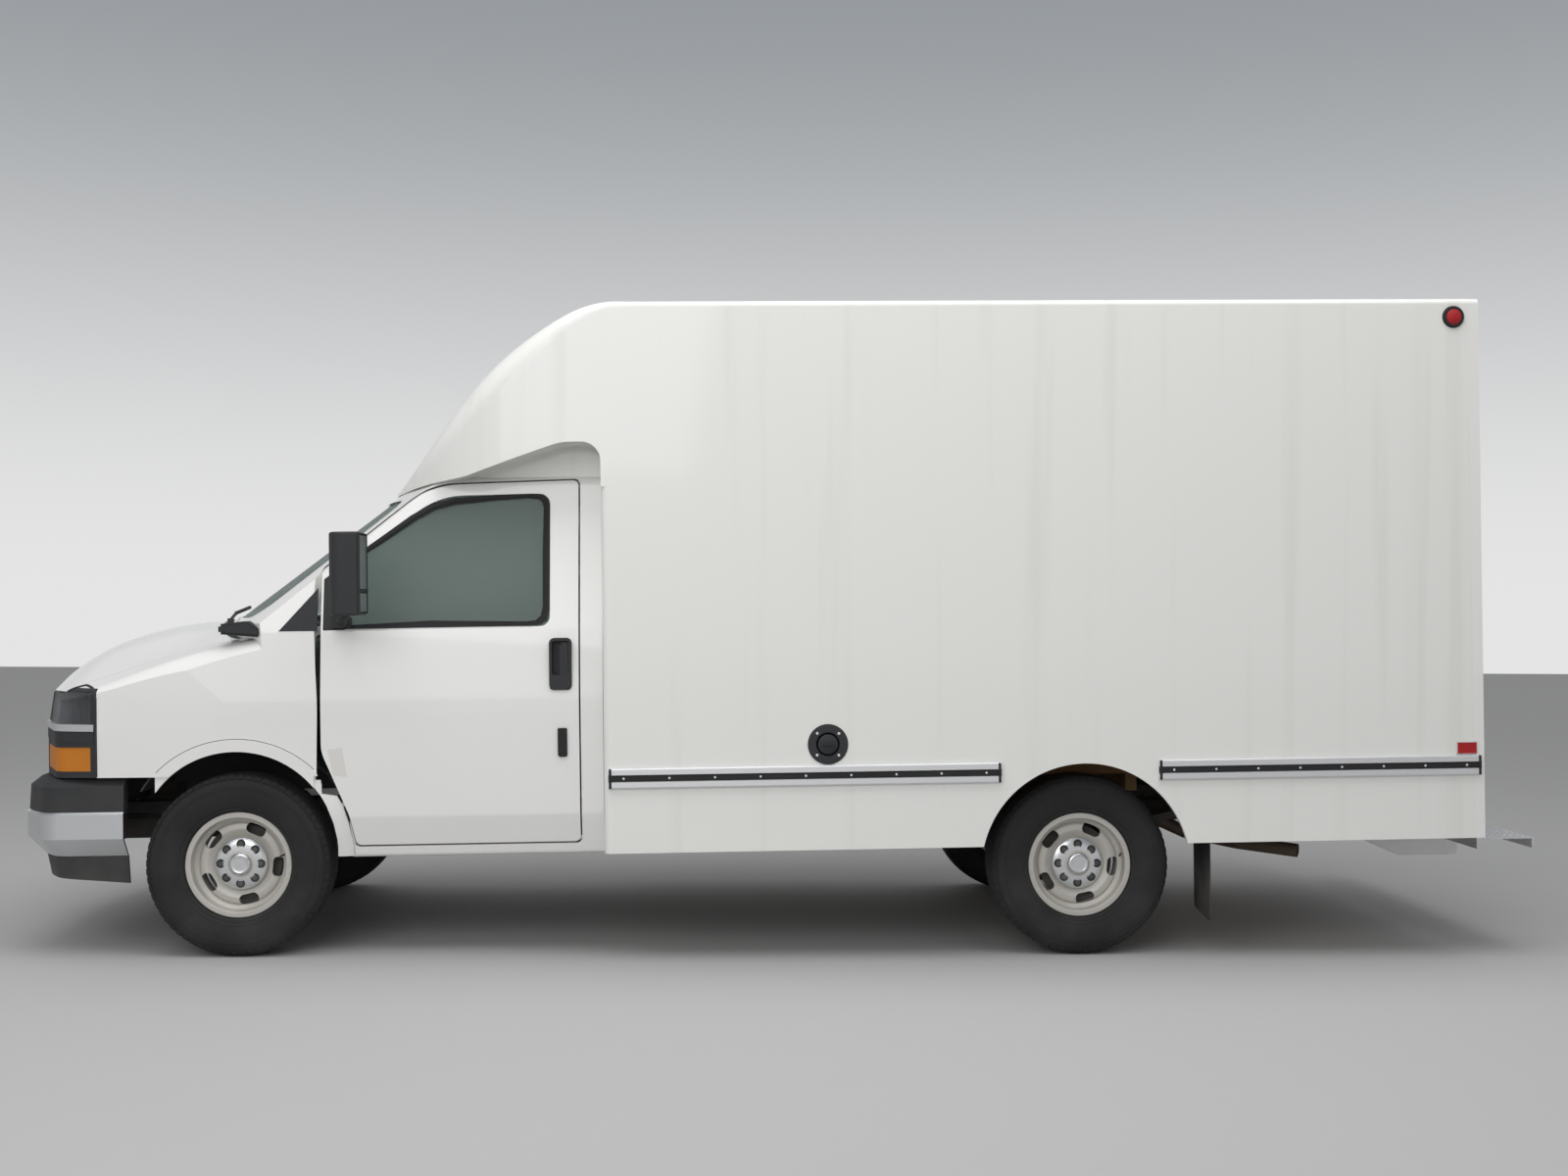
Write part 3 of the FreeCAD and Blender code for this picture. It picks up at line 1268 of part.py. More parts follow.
def make_exhaust():
    """Exhaust: pipe, silencer and a tail pipe that leaves behind the left rear wheel."""
    hub = rear_hub()
    route = [
        Vector(420, PIPE_Y, 400), Vector(2200, PIPE_Y, 420),
        Vector(3050, PIPE_Y, 430), Vector(3250, PIPE_Y, 510),
        Vector(3830, PIPE_Y, 510), Vector(4180, PIPE_Y, 345), Vector(4330, -560, 335), Vector(4560, -700, 312),
    ]
    pipe = bent_pipe(route, PIPE_RADIUS)
    silencer = Part.makeCylinder(95, 620, Vector(2250, PIPE_Y, 420), Vector(1, 0, 0))
    bore = rod(Vector(4450, -633, 323), Vector(4600, -724, 308), PIPE_RADIUS - 4)
    hanger = block(2900, 2916, PIPE_Y - 8, PIPE_Y + 8, 440, RAIL_TOP - 60)
    return largest_solids(join([pipe, silencer, hanger]).cut(bore), 1)


def make_fuel_tank():
    """Fuel tank slung outside the left rail, with its filler hose."""
    section = [
        (-RAIL_OUTER - 20, TANK_BOTTOM, 30), (-RAIL_OUTER - 20, TANK_TOP, 30),
        (-TANK_OUTER, TANK_TOP, 40), (-TANK_OUTER, TANK_BOTTOM, 60),
    ]
    tank = prism("yz", section, TANK_START, TANK_END)
    strap = block(TANK_START + 120, TANK_START + 160, -RAIL_OUTER - 24, -RAIL_OUTER - FIT, 440, 580)
    second = strap.copy()
    second.translate(Vector(TANK_END - TANK_START - 280, 0, 0))
    return join([tank, strap, second])


def make_seat(side):
    """A bucket seat on its pedestal: cushion, reclined back and head restraint."""
    y = side * SEAT_Y
    base = block(SEAT_FRONT + 60, SEAT_REAR - 20, y - 200, y + 200, CAB_FLOOR + FIT, SEAT_HEIGHT - 140)
    cushion = prism(
        "xz",
        [(SEAT_FRONT, SEAT_HEIGHT - 140, 40), (SEAT_REAR, SEAT_HEIGHT - 150, 30),
         (SEAT_REAR, SEAT_HEIGHT - 10, 30), (SEAT_FRONT, SEAT_HEIGHT + 15, 50)],
        y - SEAT_HALF, y + SEAT_HALF,
    )
    back = prism(
        "xz",
        [(SEAT_REAR - 110, SEAT_HEIGHT - 60, 30), (SEAT_REAR + 20, SEAT_HEIGHT - 60, 30),
         (SEAT_REAR + 165, SEAT_HEIGHT + 560, 40), (SEAT_REAR + 60, SEAT_HEIGHT + 570, 40)],
        y - SEAT_HALF + 10, y + SEAT_HALF - 10,
    )
    head = prism(
        "xz",
        [(SEAT_REAR + 60, SEAT_HEIGHT + 590, 30), (SEAT_REAR + 150, SEAT_HEIGHT + 590, 30),
         (SEAT_REAR + 175, SEAT_HEIGHT + 770, 30), (SEAT_REAR + 90, SEAT_HEIGHT + 770, 30)],
        y - 140, y + 140,
    )
    stalks = [
        rod(Vector(SEAT_REAR + 105, y + dy, SEAT_HEIGHT + 540),
            Vector(SEAT_REAR + 112, y + dy, SEAT_HEIGHT + 610), 8)
        for dy in (-60, 60)
    ]
    return join([base, cushion, back, head] + stalks)


def make_seats():
    return Part.makeCompound([make_seat(-1), make_seat(1)])


def make_dashboard():
    """Dashboard across the cab, its hood over the dials on the driver's side."""
    section = [
        (110, 1010, 30), (DASH_REAR - 60, 960, 60), (DASH_REAR, 1150, 60),
        (DASH_REAR - 40, 1300, 60), (70, 1352, 30),
    ]
    dash = prism("xz", section, -DASH_HALF, DASH_HALF)
    binnacle = prism(
        "xz", [(120, 1320, 20), (DASH_REAR + 20, 1200, 30), (DASH_REAR + 30, 1360, 40), (160, 1380, 40)],
        -SEAT_Y - 200, -SEAT_Y + 200,
    )
    dash = dash.fuse(binnacle)
    start = WHEEL_CENTRE - column_direction() * 300
    column = Part.makeCylinder(COLUMN_RADIUS + FIT, 170, start, column_direction())
    return largest_solids(dash.common(cab_volume(ROOF_WALL + 4)).cut([cover_shape(-FIT), column]), 1)


def cover_shape(inset):
    """The engine cover's outer shape, drawn in by the inset."""
    profile = [
        (SCREEN_BASE_X + 60, CAB_FLOOR - 1), (SCREEN_BASE_X + 60, COVER_TOP - inset),
        (COVER_REAR - 140 - inset, COVER_TOP - inset, 60), (COVER_REAR - inset, CAB_FLOOR + 200, 80),
        (COVER_REAR - inset, CAB_FLOOR - 1),
    ]
    return prism("xz", profile, -COVER_HALF_WIDTH + inset, COVER_HALF_WIDTH - inset)


def make_engine_cover():
    """Hollow cover over the rear of the engine, between the seats."""
    cover = cover_shape(0).cut(cover_shape(COVER_WALL))
    cover = cover.common(block(-400, 900, -500, 500, CAB_FLOOR + FIT, 1400))
    room = block(SCREEN_BASE_X + FIREWALL + 60 + FIT, 900, -500, 500, 0, 1400)
    inside = cab_volume(ROOF_WALL + FIT).common(room)
    return largest_solids(cover.common(inside), 1)


def column_direction():
    slope = math.radians(COLUMN_SLOPE)
    return Vector(math.cos(slope), 0, math.sin(slope))


def make_steering_wheel():
    """Steering wheel: rim, four spokes and a padded hub, on its column's end."""
    along = column_direction()
    solids = [ring(WHEEL_CENTRE, along, STEER_RIM, STEER_RIM_THICK)]
    up = Vector(-along.z, 0, along.x)
    side = Vector(0, 1, 0)
    seat = WHEEL_CENTRE - along * 35
    for turn in (20, 160, 215, 325):
        angle = math.radians(turn)
        tip = WHEEL_CENTRE + side * (STEER_RIM * math.cos(angle)) + up * (STEER_RIM * math.sin(angle))
        solids.append(rod(seat, tip, 11))
    solids.append(Part.makeCylinder(72, 48, seat - along * 16, along))
    solids.append(Part.makeCylinder(24, 110, seat - along * 120, along))
    return largest_solids(join(solids), 1)


def make_steering_column():
    """Fixed column shroud from the dashboard to the wheel."""
    along = column_direction()
    start = WHEEL_CENTRE - along * 300
    shroud = Part.makeCylinder(COLUMN_RADIUS, 170, start, along)
    shroud = shroud.cut(Part.makeCylinder(26, 130, start + along * 80, along))
    return shroud


def make_wipers():
    """Two wiper arms with blades parked along the screen's base."""
    solids = []
    for y, reach in WIPERS:
        solids.append(make_wiper(y, reach))
    return Part.makeCompound(solids)


def screen_x(y, z, lift):
    """Where the screen's outer skin lies, lifted out along x."""
    slope = math.radians(SCREEN_SLOPE)
    foot = SCREEN_BASE_X + SCREEN_BOW * (y / RAIL_HALF_WIDTH) ** 2
    return foot + (z - SCREEN_BASE_HEIGHT) / math.tan(slope) - lift


def wiper_pivot(y):
    return Vector(screen_x(y, SCREEN_BASE_HEIGHT, 26), y, SCREEN_BASE_HEIGHT + 14)


def wiper_boss(y, radius):
    return Part.makeCylinder(radius, 46, wiper_pivot(y) + Vector(0, 0, -40), Vector(0, 0, 1))


def make_wiper(y, reach):
    """One arm from its pivot to the middle of a blade that follows the bowed screen."""
    pivot = wiper_pivot(y)
    tip = Vector(screen_x(y + reach, SCREEN_BASE_HEIGHT + 66, 42), y + reach, SCREEN_BASE_HEIGHT + 66)
    halfway = y + reach / 2
    middle = Vector(screen_x(halfway, SCREEN_BASE_HEIGHT + 42, 46), halfway, SCREEN_BASE_HEIGHT + 42)
    arm = rod(pivot, middle, 7)
    blade = rod(middle, tip, 8)
    return join([arm, blade, wiper_boss(y, WIPER_BOSS), Part.makeSphere(9, middle)])


def revolved(corners):
    """A solid of revolution about the wheel axis, from corners (axial, radius)."""
    face = Part.Face(outline("yz", corners))
    return face.revolve(Vector(0, 0, 0), Vector(0, 1, 0), 360)


def hand_hole(angle):
    """One oval hole through the wheel disc."""
    half = HAND_HOLE_LENGTH / 2
    low = HAND_HOLE_CIRCLE - HAND_HOLE_WIDTH / 2
    high = HAND_HOLE_CIRCLE + HAND_HOLE_WIDTH / 2
    end = HAND_HOLE_WIDTH / 2 - 2
    hole = prism("xz", [(-half, low, end), (half, low, end), (half, high, end), (-half, high, end)], -60, 140)
    hole.rotate(Vector(0, 0, 0), Vector(0, 1, 0), angle)
    return hole


def make_wheel():
    """Steel wheel about the Y axis, outboard side at +Y: rim, disc with hand holes, bright cap."""
    flange = RIM_WIDTH / 2
    seat = RIM_BASE_RADIUS + 6
    rim = revolved([
        (flange, RIM_FLANGE_RADIUS, 4), (flange - 9, RIM_FLANGE_RADIUS), (flange - 9, seat),
        (45, RIM_BASE_RADIUS + 2), (32, 182), (-40, 182), (-54, RIM_BASE_RADIUS + 2),
        (-flange + 9, seat), (-flange + 9, RIM_FLANGE_RADIUS), (-flange, RIM_FLANGE_RADIUS, 4),
        (-flange, seat - 8), (-58, 192), (-43, 174), (34, 174), (49, 192, 12), (flange, seat - 8, 4),
    ])
    bore = SPINDLE_RADIUS + FIT
    disc = revolved([
        (28, 178), (42, 166, 12), (46, 142, 16), (26, 112, 12), (24, bore),
        (12, bore), (14, 116), (34, 144), (30, 162), (16, 178),
    ])
    disc = disc.cut([hand_hole(HAND_HOLE_TURN + 360 / HAND_HOLES * hole) for hole in range(HAND_HOLES)])
    cap = revolved([
        (23, 0), (23, CAP_RADIUS), (34, CAP_RADIUS), (46, CAP_RADIUS - 8, 10), (52, 60),
        (56, CAP_DOME_RADIUS, 4), (68, CAP_DOME_RADIUS - 6, 10), (70, 0),
    ])
    cap = cap.cut(revolved([(20, 0), (20, bore), (30, bore), (30, 0)]))
    lugs = []
    for lug in range(LUGS):
        angle = math.radians(360 / LUGS * lug)
        centre = Vector(LUG_CIRCLE * math.sin(angle), 36, LUG_CIRCLE * math.cos(angle))
        lugs.append(Part.makeCylinder(LUG_RADIUS, 30, centre, Vector(0, 1, 0)))
    return largest_solids(join([rim, disc, cap.cut(lugs)]), 1)


def make_tyre():
    """Tyre about the Y axis with round shoulders, seated between the rim's flanges."""
    half = TYRE_WIDTH / 2
    seat = RIM_BASE_RADIUS + 6 + FIT
    flange = RIM_WIDTH / 2 - 9 - FIT
    side = [
        (flange, seat), (flange, RIM_FLANGE_RADIUS + 1), (flange + 18, RIM_FLANGE_RADIUS + 3),
        (half + 4, RIM_FLANGE_RADIUS + 70, 70), (half - 4, TYRE_RADIUS - 22, 24),
        (half - 22, TYRE_RADIUS - 1, 14),
    ]
    mirrored = [(-corner[0],) + tuple(corner[1:]) for corner in reversed(side)]
    return revolved(side + [(0, TYRE_RADIUS, 4000)] + mirrored)


def lean(shape):
    """Lean a level body piece nose down about the front axle."""
    leaned = shape.copy()
    leaned.rotate(Vector(0, 0, HUB_HEIGHT), Vector(0, 1, 0), -BODY_RAKE)
    return leaned


def wheel_at(shape, x, side):
    """A wheel piece moved to its axle end, its outer side facing out."""
    placed = shape.copy() if side > 0 else other_side(shape)
    placed.translate(Vector(x, side * TRACK / 2, HUB_HEIGHT))
    return placed


def build():
    """Every node by name, in the frame of the ground below the front axle."""
    sprung = {
        "cab_shell": make_cab_shell(),
        "hood": make_hood(),
        "fenders": pair(make_fender()),
        "grille": make_grille(),
        "radiator": make_radiator(),
        "wheel_liners": pair(make_wheel_liner()),
        "lamp_bezels": pair(make_lamp_bezel()),
        "headlamps": pair(make_lamp(HEADLAMP_LOW, HEADLAMP_HIGH)),
        "turn_lamps": pair(make_lamp(TURN_LOW, TURN_HIGH)),
        "front_bumper": make_front_bumper(),
        "bumper_pad": make_bumper_pad(),
        "air_dam": make_air_dam(),
        "cowl": make_cowl(),
        "wipers": make_wipers(),
        "windshield": make_windshield(),
        "door_left": make_door(),
        "door_right": other_side(make_door()),
        "door_glass_left": make_door_glass(),
        "door_glass_right": other_side(make_door_glass()),
        "door_handle_left": make_door_handle(),
        "door_handle_right": other_side(make_door_handle()),
        "mirror_left": make_mirror(),
        "mirror_right": other_side(make_mirror()),
        "seats": make_seats(),
        "dashboard": make_dashboard(),
        "engine_cover": make_engine_cover(),
        "steering_column": make_steering_column(),
        "steering_wheel": make_steering_wheel(),
        "box_shell": make_box_shell(),
        "box_floor": make_box_floor(),
        "rear_frame": make_rear_frame(),
        "rear_door_left": make_rear_door(),
        "rear_door_right": other_side(make_rear_door()),
        "rub_rails": make_rub_rails(),
        "fuel_filler": make_fuel_filler(),
        "marker_lamps": make_marker_lamps(),
        "tail_lamps": make_tail_lamps(),
        "rear_step": make_rear_step(),
        "mud_flaps": make_mud_flaps(),
        "chassis_frame": make_chassis_frame(),
        "front_suspension": make_front_suspension(),
        "rear_axle": make_rear_axle(),
        "engine": make_engine(),
        "exhaust": make_exhaust(),
        "fuel_tank": make_fuel_tank(),
    }
    nodes = {name: lean(shape) for name, shape in sprung.items()}
    wheel = make_wheel()
    tyre = make_tyre()
    for end, x in (("front", 0.0), ("rear", WHEELBASE)):
        for name, side in (("left", -1), ("right", 1)):
            nodes[f"wheel_{end}_{name}"] = wheel_at(wheel, x, side)
            nodes[f"tyre_{end}_{name}"] = wheel_at(tyre, x, side)
    nodes["knuckle_left"] = make_knuckle(-1)
    nodes["knuckle_right"] = make_knuckle(1)
    return nodes


def origin_shift(nodes):
    """The move that puts the origin on the ground below the middle of the whole outline."""
    low = min(shape.BoundBox.XMin for shape in nodes.values())
    high = max(shape.BoundBox.XMax for shape in nodes.values())
    return Vector(-(low + high) / 2, 0, TYRE_RADIUS - HUB_HEIGHT)


def main():
    os.makedirs("parts", exist_ok=True)
    nodes = build()
    shift = origin_shift(nodes)
    print("origin shift", shift)
    for name, shape in nodes.items():
        shape.translate(shift)
        shape.exportStep(f"parts/{name}.step")


main()
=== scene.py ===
"""Looks of the box truck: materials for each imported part, the small pieces on it, the studio and the camera."""
import math

import bmesh
import bpy
from mathutils import Matrix, Vector
from mathutils.bvhtree import BVHTree


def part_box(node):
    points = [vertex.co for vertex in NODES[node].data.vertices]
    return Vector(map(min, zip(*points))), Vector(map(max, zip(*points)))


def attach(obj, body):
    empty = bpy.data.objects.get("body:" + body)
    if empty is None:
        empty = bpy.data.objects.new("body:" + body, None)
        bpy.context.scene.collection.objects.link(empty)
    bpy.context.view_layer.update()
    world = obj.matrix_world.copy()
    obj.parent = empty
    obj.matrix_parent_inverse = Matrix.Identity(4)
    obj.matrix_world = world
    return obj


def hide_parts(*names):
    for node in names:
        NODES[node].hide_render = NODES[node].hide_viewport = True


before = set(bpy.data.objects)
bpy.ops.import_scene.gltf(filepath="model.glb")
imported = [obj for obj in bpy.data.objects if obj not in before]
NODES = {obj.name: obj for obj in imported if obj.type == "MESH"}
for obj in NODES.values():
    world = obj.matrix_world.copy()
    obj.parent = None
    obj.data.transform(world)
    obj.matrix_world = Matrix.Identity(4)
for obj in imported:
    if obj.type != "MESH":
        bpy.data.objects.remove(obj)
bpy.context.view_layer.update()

SIDES = (("left", -1), ("right", 1))

# The truck's frame: the body's lean in degrees, the rest in millimetres
BODY_RAKE = 1.05
HUB_HEIGHT = 372.0
ORIGIN_X = -2260.283
ORIGIN_Z = 8.0
WHEELBASE = 3531.0

# Camera of the photograph: metres and degrees, its lens and sensor in millimetres
CAMERA_PLACE = Vector((-0.38428, -8.606, 1.4964))
CAMERA_YAW = 2.900
CAMERA_PITCH = 0.384
CAMERA_ROLL = 0.386
CAMERA_LENS = 41.62
SENSOR_WIDTH = 36.0

# Studio
FLOOR_SIZE = 60.0
FLOOR_COLOUR = (0.42, 0.42, 0.42)
SKY_LOW = (0.78, 0.78, 0.78)
SKY_HIGH = (0.30, 0.32, 0.34)
WORLD_LEVEL = 0.56
TOP_LAMP_POWER = 340.0
FRONT_LAMP_POWER = 200.0

# Values that several things share
DUST_COLOUR = (0.30, 0.28, 0.25, 1.0)
DUST_TOP = 0.9
CREASE_ANGLE = math.radians(35)


# Node trees

def add(tree, kind, settings=None, inputs=None):
    """A new node with its settings, and inputs that are values or other nodes' outputs."""
    made = tree.nodes.new(kind)
    for name, value in (settings or {}).items():
        setattr(made, name, value)
    for name, value in (inputs or {}).items():
        socket = made.inputs[name]
        if isinstance(value, bpy.types.NodeSocket):
            tree.links.new(value, socket)
        else:
            socket.default_value = value
    return made


def math_node(tree, operation, first, second=0.0, clamp=False):
    """The output of a Math node."""
    made = add(tree, "ShaderNodeMath", {"operation": operation, "use_clamp": clamp}, {0: first, 1: second})
    return made.outputs[0]


def ramp(tree, value, low, high, start=0.0, end=1.0):
    """A value between low and high brought to start and end, smoothly."""
    made = add(tree, "ShaderNodeMapRange", {"interpolation_type": "SMOOTHSTEP"},
               {"Value": value, "From Min": low, "From Max": high, "To Min": start, "To Max": end})
    return made.outputs["Result"]


def mix_colour(tree, factor, first, second):
    """Two colours mixed by a factor."""
    made = add(tree, "ShaderNodeMix", {"data_type": "RGBA"}, {0: factor, 6: first, 7: second})
    return made.outputs[2]


def new_group(name, inputs, outputs):
    """An empty shader group with its named inputs and outputs; returns tree, input node and output node."""
    tree = bpy.data.node_groups.new(name, "ShaderNodeTree")
    for socket_name, (kind, value) in inputs.items():
        socket = tree.interface.new_socket(socket_name, in_out="INPUT", socket_type=kind)
        if value is not None:
            socket.default_value = value
    for socket_name, kind in outputs.items():
        tree.interface.new_socket(socket_name, in_out="OUTPUT", socket_type=kind)
    return tree, tree.nodes.new("NodeGroupInput"), tree.nodes.new("NodeGroupOutput")


def grain_group():
    """Fine grain of moulded plastic, rubber and cast metal: a value and a height."""
    tree, given, result = new_group(
        "fine_grain", {"Vector": ("NodeSocketVector", None), "Size": ("NodeSocketFloat", 400.0),
                       "Contrast": ("NodeSocketFloat", 0.5)},
        {"Value": "NodeSocketFloat", "Height": "NodeSocketFloat"})
    place = given.outputs["Vector"]
    fine = add(tree, "ShaderNodeTexNoise", None,
               {"Vector": place, "Scale": given.outputs["Size"], "Detail": 3.0})
    broad = add(tree, "ShaderNodeTexNoise", None, {"Vector": place, "Scale": 2.3, "Detail": 4.0})
    tree.links.new(fine.outputs[0], result.inputs["Height"])
    spread = math_node(tree, "SUBTRACT", broad.outputs[0], 0.5)
    tree.links.new(math_node(tree, "MULTIPLY_ADD", spread, given.outputs["Contrast"]), result.inputs["Value"])
    return tree


def dust_group():
    """Road dust: thickest near the ground and broken up by soft patches."""
    tree, given, result = new_group(
        "road_dust", {"Vector": ("NodeSocketVector", None), "Top": ("NodeSocketFloat", DUST_TOP),
                      "Amount": ("NodeSocketFloat", 0.3)}, {"Mask": "NodeSocketFloat"})
    place = given.outputs["Vector"]
    height = add(tree, "ShaderNodeSeparateXYZ", None, {0: place}).outputs["Z"]
    fall = ramp(tree, math_node(tree, "DIVIDE", height, given.outputs["Top"]), 0.05, 1.0, 1.0, 0.0)
    patches = add(tree, "ShaderNodeTexNoise", None, {"Vector": place, "Scale": 5.0, "Detail": 6.0})
    broken = ramp(tree, patches.outputs[0], 0.3, 0.75)
    mask = math_node(tree, "MULTIPLY", math_node(tree, "MULTIPLY", fall, broken), given.outputs["Amount"])
    tree.links.new(mask, result.inputs["Mask"])
    return tree


GRAIN = grain_group()
DUST = dust_group()


def start_material(name):
    """A material with its shader and Object coordinates."""
    material = bpy.data.materials.new(name)
    material.use_nodes = True
    tree = material.node_tree
    shader = tree.nodes["Principled BSDF"]
    place = tree.nodes.new("ShaderNodeTexCoord").outputs["Object"]
    return material, tree, shader, place


def add_relief(tree, shader, height, strength, distance):
    """A bump on the shader's normal."""
    relief = add(tree, "ShaderNodeBump", None, {"Strength": strength, "Distance": distance, "Height": height})
    tree.links.new(relief.outputs[0], shader.inputs["Normal"])


def finish_of(name, colour, roughness, metallic=0.0, grain=400.0, bump=0.1, contrast=0.3, dust=0.2,
              streaks=0.0, coat=0.0, coat_roughness=0.03):
    """A finish with grain, uneven gloss, road dust low down and, where asked, faint rain streaks."""
    material, tree, shader, place = start_material(name)
    texture = add(tree, "ShaderNodeGroup", {"node_tree": GRAIN},
                  {"Vector": place, "Size": grain, "Contrast": contrast})
    mask = add(tree, "ShaderNodeGroup", {"node_tree": DUST}, {"Vector": place, "Top": DUST_TOP, "Amount": dust})
    mask = mask.outputs["Mask"]
    full = (*colour, 1.0)
    darker = tuple(c * 0.86 for c in colour) + (1.0,)
    shade = ramp(tree, texture.outputs["Value"], -0.25 * contrast, 0.25 * contrast)
    base = mix_colour(tree, shade, darker, full)
    if streaks:
        drawn_out = add(tree, "ShaderNodeVectorMath", {"operation": "MULTIPLY"},
                        {0: place, 1: (9.0, 9.0, 0.35)}).outputs[0]
        trails = add(tree, "ShaderNodeTexNoise", None, {"Vector": drawn_out, "Scale": 1.0, "Detail": 5.0})
        trail = math_node(tree, "MULTIPLY", ramp(tree, trails.outputs["Fac"], 0.52, 0.72), streaks)
        base = mix_colour(tree, trail, base, DUST_COLOUR)
    tree.links.new(mix_colour(tree, mask, base, DUST_COLOUR), shader.inputs["Base Color"])
    rough = math_node(tree, "ADD", math_node(tree, "MULTIPLY", texture.outputs["Value"], 0.4), roughness, True)
    dusty = math_node(tree, "MAXIMUM", rough, math_node(tree, "MULTIPLY", mask, 0.9))
    tree.links.new(dusty, shader.inputs["Roughness"])
    shader.inputs["Metallic"].default_value = metallic
    shader.inputs["Coat Weight"].default_value = coat
    shader.inputs["Coat Roughness"].default_value = coat_roughness
    add_relief(tree, shader, texture.outputs["Height"], bump, 0.0006)
    return material


def glass_of(name, colour, roughness=0.02, transmission=1.0, flutes=0.0):
    """Glass or a clear lens with a fine unevenness and, where asked, upright flutes."""
    material, tree, shader, place = start_material(name)
    texture = add(tree, "ShaderNodeGroup", {"node_tree": GRAIN},
                  {"Vector": place, "Size": 30.0, "Contrast": 0.05})
    rough = math_node(tree, "ADD", texture.outputs["Value"], roughness, True)
    tree.links.new(rough, shader.inputs["Roughness"])
    shader.inputs["Base Color"].default_value = (*colour, 1.0)
    shader.inputs["Transmission Weight"].default_value = transmission
    shader.inputs["IOR"].default_value = 1.45
    if flutes:
        wave = add(tree, "ShaderNodeTexWave", {"bands_direction": "X"},
                   {"Vector": place, "Scale": 26.0, "Distortion": 0.3})
        add_relief(tree, shader, wave.outputs["Fac"], flutes, 0.004)
    return material


# Each finish: its colour, its roughness and what else it has
FINISHES = {
    "white_paint": ((0.80, 0.795, 0.78), 0.26, dict(grain=900.0, bump=0.02, contrast=0.06, dust=0.05, coat=0.8,
                                                    coat_roughness=0.04)),
    "fibreglass": ((0.79, 0.795, 0.765), 0.32, dict(grain=60.0, bump=0.03, contrast=0.08, dust=0.05,
                                                    streaks=0.09, coat=0.5, coat_roughness=0.08)),
    "black_plastic": ((0.022, 0.023, 0.025), 0.48, dict(grain=900.0, bump=0.35)),
    "chrome": ((0.72, 0.73, 0.74), 0.10, dict(metallic=1.0, bump=0.02, contrast=0.1, dust=0.12)),
    "tyre_rubber": ((0.011, 0.011, 0.012), 0.62, dict(grain=320.0, bump=0.35, contrast=0.15, dust=0.07)),
    "black_rubber": ((0.015, 0.015, 0.016), 0.62, dict(grain=200.0, bump=0.3, dust=0.3)),
    "wheel_steel": ((0.56, 0.54, 0.50), 0.34, dict(metallic=0.35, grain=700.0, bump=0.05, dust=0.25)),
    "frame_black": ((0.018, 0.018, 0.018), 0.50, dict(grain=80.0, bump=0.3, dust=0.5)),
    "cast_metal": ((0.10, 0.098, 0.095), 0.62, dict(metallic=0.5, grain=150.0, bump=0.7, dust=0.5)),
    "exhaust_steel": ((0.17, 0.13, 0.10), 0.55, dict(metallic=0.7, grain=90.0, bump=0.4, contrast=0.9,
                                                     dust=0.4)),
    "bare_aluminium": ((0.78, 0.78, 0.79), 0.38, dict(metallic=1.0, grain=500.0, bump=0.08)),
    "floor_wood": ((0.36, 0.22, 0.11), 0.50, dict(grain=90.0, bump=0.3, contrast=0.8, dust=0.0)),
    "seat_vinyl": ((0.11, 0.11, 0.115), 0.50, dict(grain=700.0, bump=0.4, dust=0.0)),
    "old_film": ((0.70, 0.69, 0.66), 0.55, dict(grain=500.0, bump=0.1, contrast=0.2, dust=0.1)),
    "interior_grey": ((0.13, 0.13, 0.135), 0.58, dict(grain=800.0, bump=0.4, dust=0.0)),
}
LENSES = {
    "glass": ((0.62, 0.72, 0.68), {}),
    "clear_lens": ((0.50, 0.52, 0.55), dict(flutes=0.9)),
    "amber_lens": ((0.95, 0.36, 0.02), dict(roughness=0.12, transmission=0.55)),
    "red_lens": ((0.62, 0.015, 0.02), dict(roughness=0.10, transmission=0.45)),
}
MATERIALS = {name: finish_of(name, colour, roughness, **more)
             for name, (colour, roughness, more) in FINISHES.items()}
MATERIALS |= {name: glass_of(name, colour, **more) for name, (colour, more) in LENSES.items()}


def dress_nodes():
    """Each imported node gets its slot's material."""
    for cad_node in NODES.values():
        for place in cad_node.material_slots:
            slot_name = place.material.name.split(".")[0]
            if slot_name in MATERIALS:
                place.material = MATERIALS[slot_name]


# Shapes

def row(x, y, z):
    """A point of the level body, millimetres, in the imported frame, metres."""
    turn = math.radians(BODY_RAKE)
    high = z - HUB_HEIGHT
    return Vector(((x * math.cos(turn) - high * math.sin(turn) + ORIGIN_X) / 1000, y / 1000,
                   (HUB_HEIGHT + x * math.sin(turn) + high * math.cos(turn) + ORIGIN_Z) / 1000))


def finish_piece(name, shape, material, body):
    """A bmesh turned into a piece that rides on a body."""
    bmesh.ops.remove_doubles(shape, verts=shape.verts, dist=0.00001)
    bmesh.ops.recalc_face_normals(shape, faces=shape.faces)
    mesh = bpy.data.meshes.new(name)
    shape.to_mesh(mesh)
    shape.free()
    mesh.shade_smooth()
    mesh.set_sharp_from_angle(angle=CREASE_ANGLE)
    piece = bpy.data.objects.new(name, mesh)
    bpy.context.scene.collection.objects.link(piece)
    mesh.materials.append(MATERIALS[material])
    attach(piece, body)
    return piece


def make_piece(name, material, body, *parts):
    """A piece made of parts, each given as a helper and the values it takes."""
    shape = bmesh.new()
    for helper, *values in parts:
        helper(shape, *values)
    return finish_piece(name, shape, material, body)


